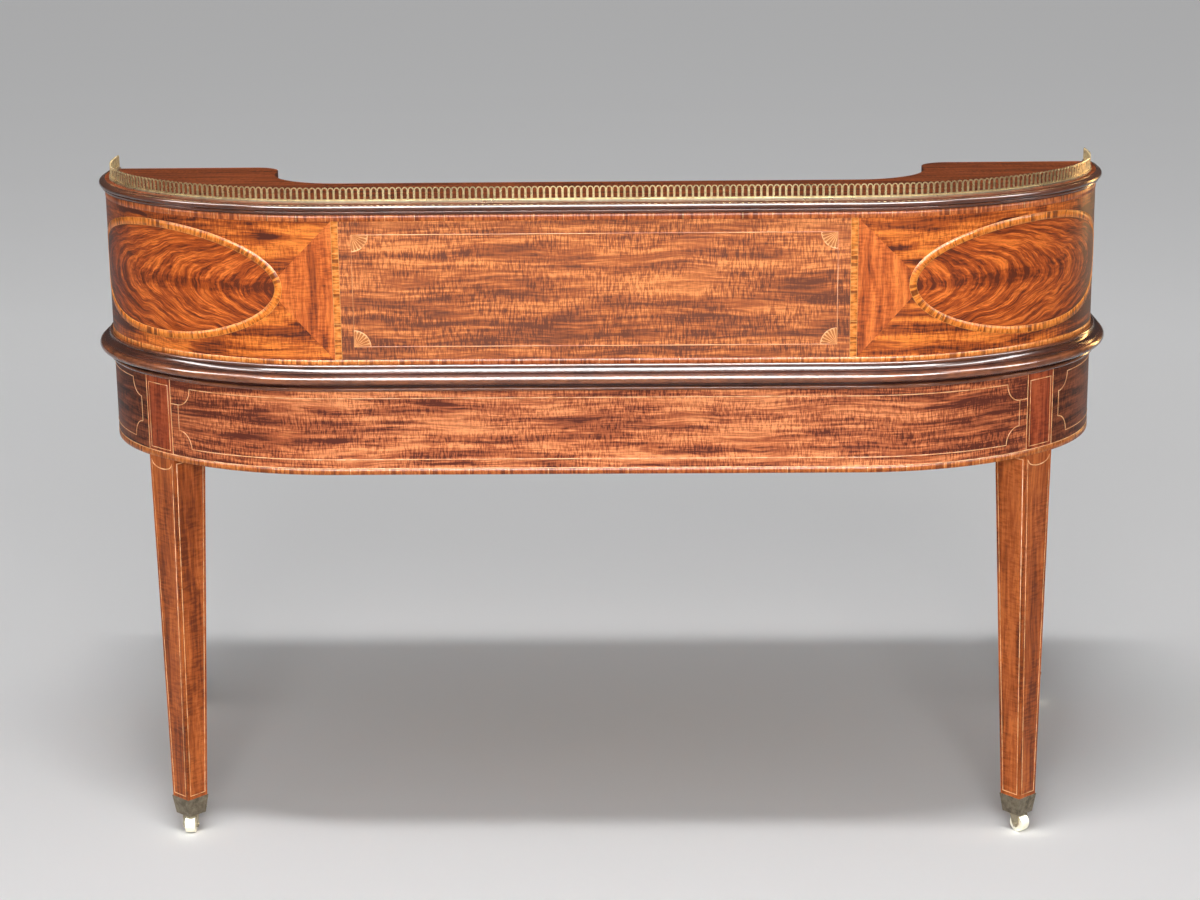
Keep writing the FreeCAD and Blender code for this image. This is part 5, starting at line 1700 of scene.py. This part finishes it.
@dataclass
class Gallery:
    """Pierced brass gallery: a row of round-headed arches on a rail."""

    inset: float = 0.0088
    pitch: float = 0.0085
    slot_half: float = 0.0027
    sill: float = 0.002
    wall: float = 0.0016
    head_steps: int = 6

    def outline(self, half: float, low: float, spring: float) -> list[FlatPoint]:
        """Upright with a round head.

        Args:
            half: Half of its width.
            low: Its foot.
            spring: Height at which the head begins.

        Returns:
            The corners, in order round it.
        """
        head = arc_points((0.0, spring), (half, half), 0.0, 180.0, self.head_steps)
        return [(-half, low), (half, low), *head]

    def arch(self, height: float) -> bpy.types.Object:
        """One arch with its slot, in the plane X, Z.

        Args:
            height: Height of the arch above the rail.

        Returns:
            A holder of the arch's mesh.
        """
        half = self.pitch / 2.0
        outer = self.outline(half, 0.0, height - half)
        inner = self.outline(self.slot_half, self.sill, height - half)
        count = len(outer)
        rings = [(points, y) for y in (self.wall / 2.0, -self.wall / 2.0) for points in (outer, inner)]
        verts = [(x, y, z) for points, y in rings for x, z in points]
        faces = []
        for index in range(count):
            after = (index + 1) % count
            for first, second in ((0, 1), (1, 3), (3, 2), (2, 0)):
                faces.append((first * count + index, second * count + index,
                              second * count + after, first * count + after))
        mesh = bpy.data.meshes.new("gallery_arch")
        mesh.from_pydata(verts, [], faces)
        turned = bmesh.new()
        turned.from_mesh(mesh)
        bmesh.ops.recalc_face_normals(turned, faces=turned.faces)
        turned.to_mesh(mesh)
        turned.free()
        return new_object("gallery_arch", mesh)

    def build(self) -> None:
        """Build the arches and dress the rail."""
        low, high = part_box("gallery")
        end = PLAN.run_at(low.y) - self.pitch / 2.0
        path = face_path([(-end, low.z), (end, low.z)], lift=-self.inset)
        arch = self.arch(high.z - low.z)
        holder = path_mesh("gallery_arches", [path])
        piece = arch_tree().make(holder, GALLERY_BRASS, {"Arch": arch, "Pitch": self.pitch})
        bpy.data.objects.remove(arch)
        settle(piece, ROOT_BODY)
        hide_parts("gallery")
        dress(RAIL_BRASS, "gallery_rail")


@dataclass
class Mouldings:
    """Waist and top mouldings, with how far each is rubbed lighter at shares of its height, partly wear and
    partly painted sheen.
    """

    waist_rub_and_sheen: Sequence[FlatPoint] = (
        (0.0, 0.35), (0.13, 0.45), (0.17, 0.0), (0.33, 0.0), (0.4, 0.5), (0.6, 0.6), (0.66, 0.1),
        (0.86, 0.15), (1.0, 0.4))
    top_rub_and_sheen: Sequence[FlatPoint] = (
        (0.0, 0.3), (0.1, 0.1), (0.3, 0.3), (0.38, 0.05), (0.6, 0.2), (1.0, 0.25))

    def build(self) -> None:
        """Dress both mouldings."""
        for node, rub_and_sheen in (("waist_moulding", self.waist_rub_and_sheen), ("top_moulding", self.top_rub_and_sheen)):
            low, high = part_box(node)
            dress(MouldingFinish(f"{node}_polish", low.z, high.z, rub_and_sheen), node)


@dataclass
class WritingSide:
    """The sitter's side: drawers, leather, knobs and their lines."""

    line: float = LINE_WIDTH
    drawer_inset: float = 0.009
    small_inset: float = 0.007
    tooling: Sequence[FlatPoint] = ((0.012, 0.0012), (0.0165, 0.0030), (0.021, 0.0012))
    tooling_thickness: float = 0.0003

    def front_line(self, name: str, body: str, low: Vector, high: Vector, inset: float) -> None:
        """Lay a closed line on a front that faces the sitter.

        Args:
            name: Name of the piece.
            body: The CAD body of the front.
            low: Lowest corner of the front.
            high: Its highest corner.
            inset: Distance of the line from the edges.
        """
        y = low.y - LINE_LIFT / 2.0
        spots = rectangle(low.x + inset, high.x - inset, low.z + inset, high.z - inset)
        path = Path.ring([Vector((x, y, z)) for x, z in spots], Vector((0.0, -1.0, 0.0)))
        lay_strips(name, [path], self.line, BOXWOOD, body)

    def build_drawers(self) -> None:
        """Lay the lines of the drawers and dress their fronts, boxes and knobs."""
        for name in ("left", "centre", "right"):
            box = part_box(f"drawer_front_{name}")
            self.front_line(f"drawer_line_{name}", f"drawer_{name}", *box, self.drawer_inset)
            dress(INSIDE_WOOD, f"drawer_front_{name}")
            dress(LINING_WOOD, f"drawer_box_{name}")
            dress(KNOB_BRASS, f"drawer_knobs_{name}")
        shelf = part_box("bank_shelf")[0].z
        for index in (1, 2, 3):
            drawer = f"small_drawer_{index}"
            low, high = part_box(drawer)
            high.z = min(high.z, shelf)
            self.front_line(f"small_drawer_line_{index}", drawer, low, high, self.small_inset)
            dress(INSIDE_WOOD, drawer)
            dress(KNOB_BRASS, f"small_knob_{index}")

    def build_leather(self) -> None:
        """Lay the gilt lines of the leather and dress it with its board."""
        low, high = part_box("writing_leather")
        for number, (inset, width) in enumerate(self.tooling, 1):
            spots = rectangle(low.x + inset, high.x - inset, low.y + inset, high.y - inset)
            path = Path.ring([Vector((x, y, high.z)) for x, y in spots], Vector((0.0, 0.0, 1.0)))
            lay_strips(f"leather_tooling_{number}", [path], width, GILT,
                       thickness=self.tooling_thickness)
        dress(LEATHER, "writing_leather")
        dress(TOP_WOOD, "writing_board")

    def build(self) -> None:
        """Build the lines and dress the pieces."""
        self.build_drawers()
        self.build_leather()
        dress(LINING_WOOD, "drawer_runners", "runner_bearer")
        dress(KNOB_BRASS, "corner_door_knob_left", "corner_door_knob_right", "corner_door_pivots",
              "lid_hinge_pins")


@dataclass
class Softbox:
    """Square soft lamp aimed at a point; if for gloss only, it shows in reflections and nowhere else."""

    name: str
    place: Place
    aim: Place
    size: FlatPoint
    power: float
    colour: Colour = WHITE
    gloss_only: bool = False

    def build(self) -> None:
        """Add the lamp."""
        lamp = bpy.data.lights.new(self.name, "AREA")
        lamp.shape = "RECTANGLE"
        lamp.size, lamp.size_y = self.size
        lamp.energy = self.power
        lamp.color = self.colour
        holder = new_object(self.name, lamp)
        holder.visible_diffuse = not self.gloss_only
        holder.location = self.place
        holder.rotation_euler = (Vector(self.aim) - Vector(self.place)).to_track_quat("-Z", "Y").to_euler()


@dataclass
class Studio:
    """Floor, surroundings, lamps and camera."""

    floor_half: float = 30.0
    sky_low: float = 0.05
    sky_high: float = 0.48
    sky_lean: FlatPoint = (0.8, 0.6)
    sky_span: FlatPoint = (-0.1, 0.95)
    camera_place: Place = (-0.0902, 3.7979, 1.5158)
    heading: float = 0.0246679
    tilt: float = 0.253126
    roll: float = 0.0113563
    lens: float = 76.172
    sensor: float = 36.0
    lamps: Sequence[Softbox] = field(default_factory=lambda: (
        Softbox("key_softbox", (0.27, 1.40, 5.0), (0.0, 0.0, 0.0), (2.0, 0.38), 116.0),
        Softbox("front_softbox", (-0.2, 5.0, 2.5), (0.0, 0.2, 0.7), (2.4, 0.8), 150.0),
        Softbox("rim_softbox", (-3.5, -2.8, 1.2), (-0.7, 0.1, 0.8), (0.35, 1.8), 40.0, AMBER, True),
        Softbox("front_card", (0.0, 3.5, 4.4), (0.0, 0.3, 0.8), (7.0, 1.9), 2100.0, gloss_only=True),
        Softbox("left_card", (4.2, 0.8, 4.4), (0.6, 0.1, 0.8), (1.2, 4.0), 360.0, gloss_only=True),
        Softbox("right_card", (-4.2, 0.8, 4.4), (-0.6, 0.1, 0.8), (1.2, 4.0), 360.0, gloss_only=True),
    ))

    def build_floor(self) -> None:
        """Lay a wide pale floor under the desk."""
        corners = rectangle(-self.floor_half, self.floor_half, -self.floor_half, self.floor_half)
        mesh = bpy.data.meshes.new("studio_floor")
        mesh.from_pydata([(x, y, 0.0) for x, y in corners], [], [(0, 1, 2, 3)])
        mesh.materials.append(material_of(FLOOR))
        new_object("studio_floor", mesh)

    def build_world(self) -> None:
        """Set grey surroundings, brighter above and behind the camera than at the sides."""
        world = bpy.data.worlds.new("studio")
        world.use_nodes = True
        bpy.context.scene.world = world
        graph = Graph(world.node_tree)
        _, fore, up = graph.parts(graph.node("ShaderNodeTexCoord").outputs["Generated"])
        lean = graph.plus(graph.times(fore, self.sky_lean[0]), graph.times(up, self.sky_lean[1]))
        level = graph.between(graph.spread(lean, *self.sky_span), self.sky_low, self.sky_high)
        sky = world.node_tree.nodes["Background"].inputs
        graph.feed(sky["Strength"], level)
        graph.feed(sky["Color"], opaque(WHITE))

    def build_camera(self) -> None:
        """Set the camera at the viewing angle of the picture."""
        data = bpy.data.cameras.new("camera")
        data.lens, data.sensor_width = self.lens, self.sensor
        right = Vector((-math.cos(self.heading), -math.sin(self.heading), 0.0))
        level = Vector((math.sin(self.heading), -math.cos(self.heading), 0.0))
        ahead = level * math.cos(self.tilt) - Vector((0.0, 0.0, math.sin(self.tilt)))
        up = right.cross(ahead)
        turned = right * math.cos(self.roll) - up * math.sin(self.roll)
        upright = right * math.sin(self.roll) + up * math.cos(self.roll)
        axes = Matrix((turned, upright, -ahead)).transposed().to_4x4()
        holder = new_object("camera", data)
        holder.matrix_world = Matrix.Translation(self.camera_place) @ axes
        bpy.context.scene.camera = holder

    def build(self) -> None:
        """Set up the studio."""
        bpy.context.scene.view_settings.view_transform = "Standard"
        self.build_floor()
        self.build_world()
        for lamp in self.lamps:
            lamp.build()
        self.build_camera()


def main() -> None:
    """Build the desk's looks."""
    logging.basicConfig(level=logging.INFO, format="%(name)s: %(message)s")
    for part in (UpperCarcase(), Frieze(), Legs(), Gallery(), Mouldings(), WritingSide(), Studio()):
        part.build()
        log.info("%s done", type(part).__name__)


if __name__ == "__main__":
    main()
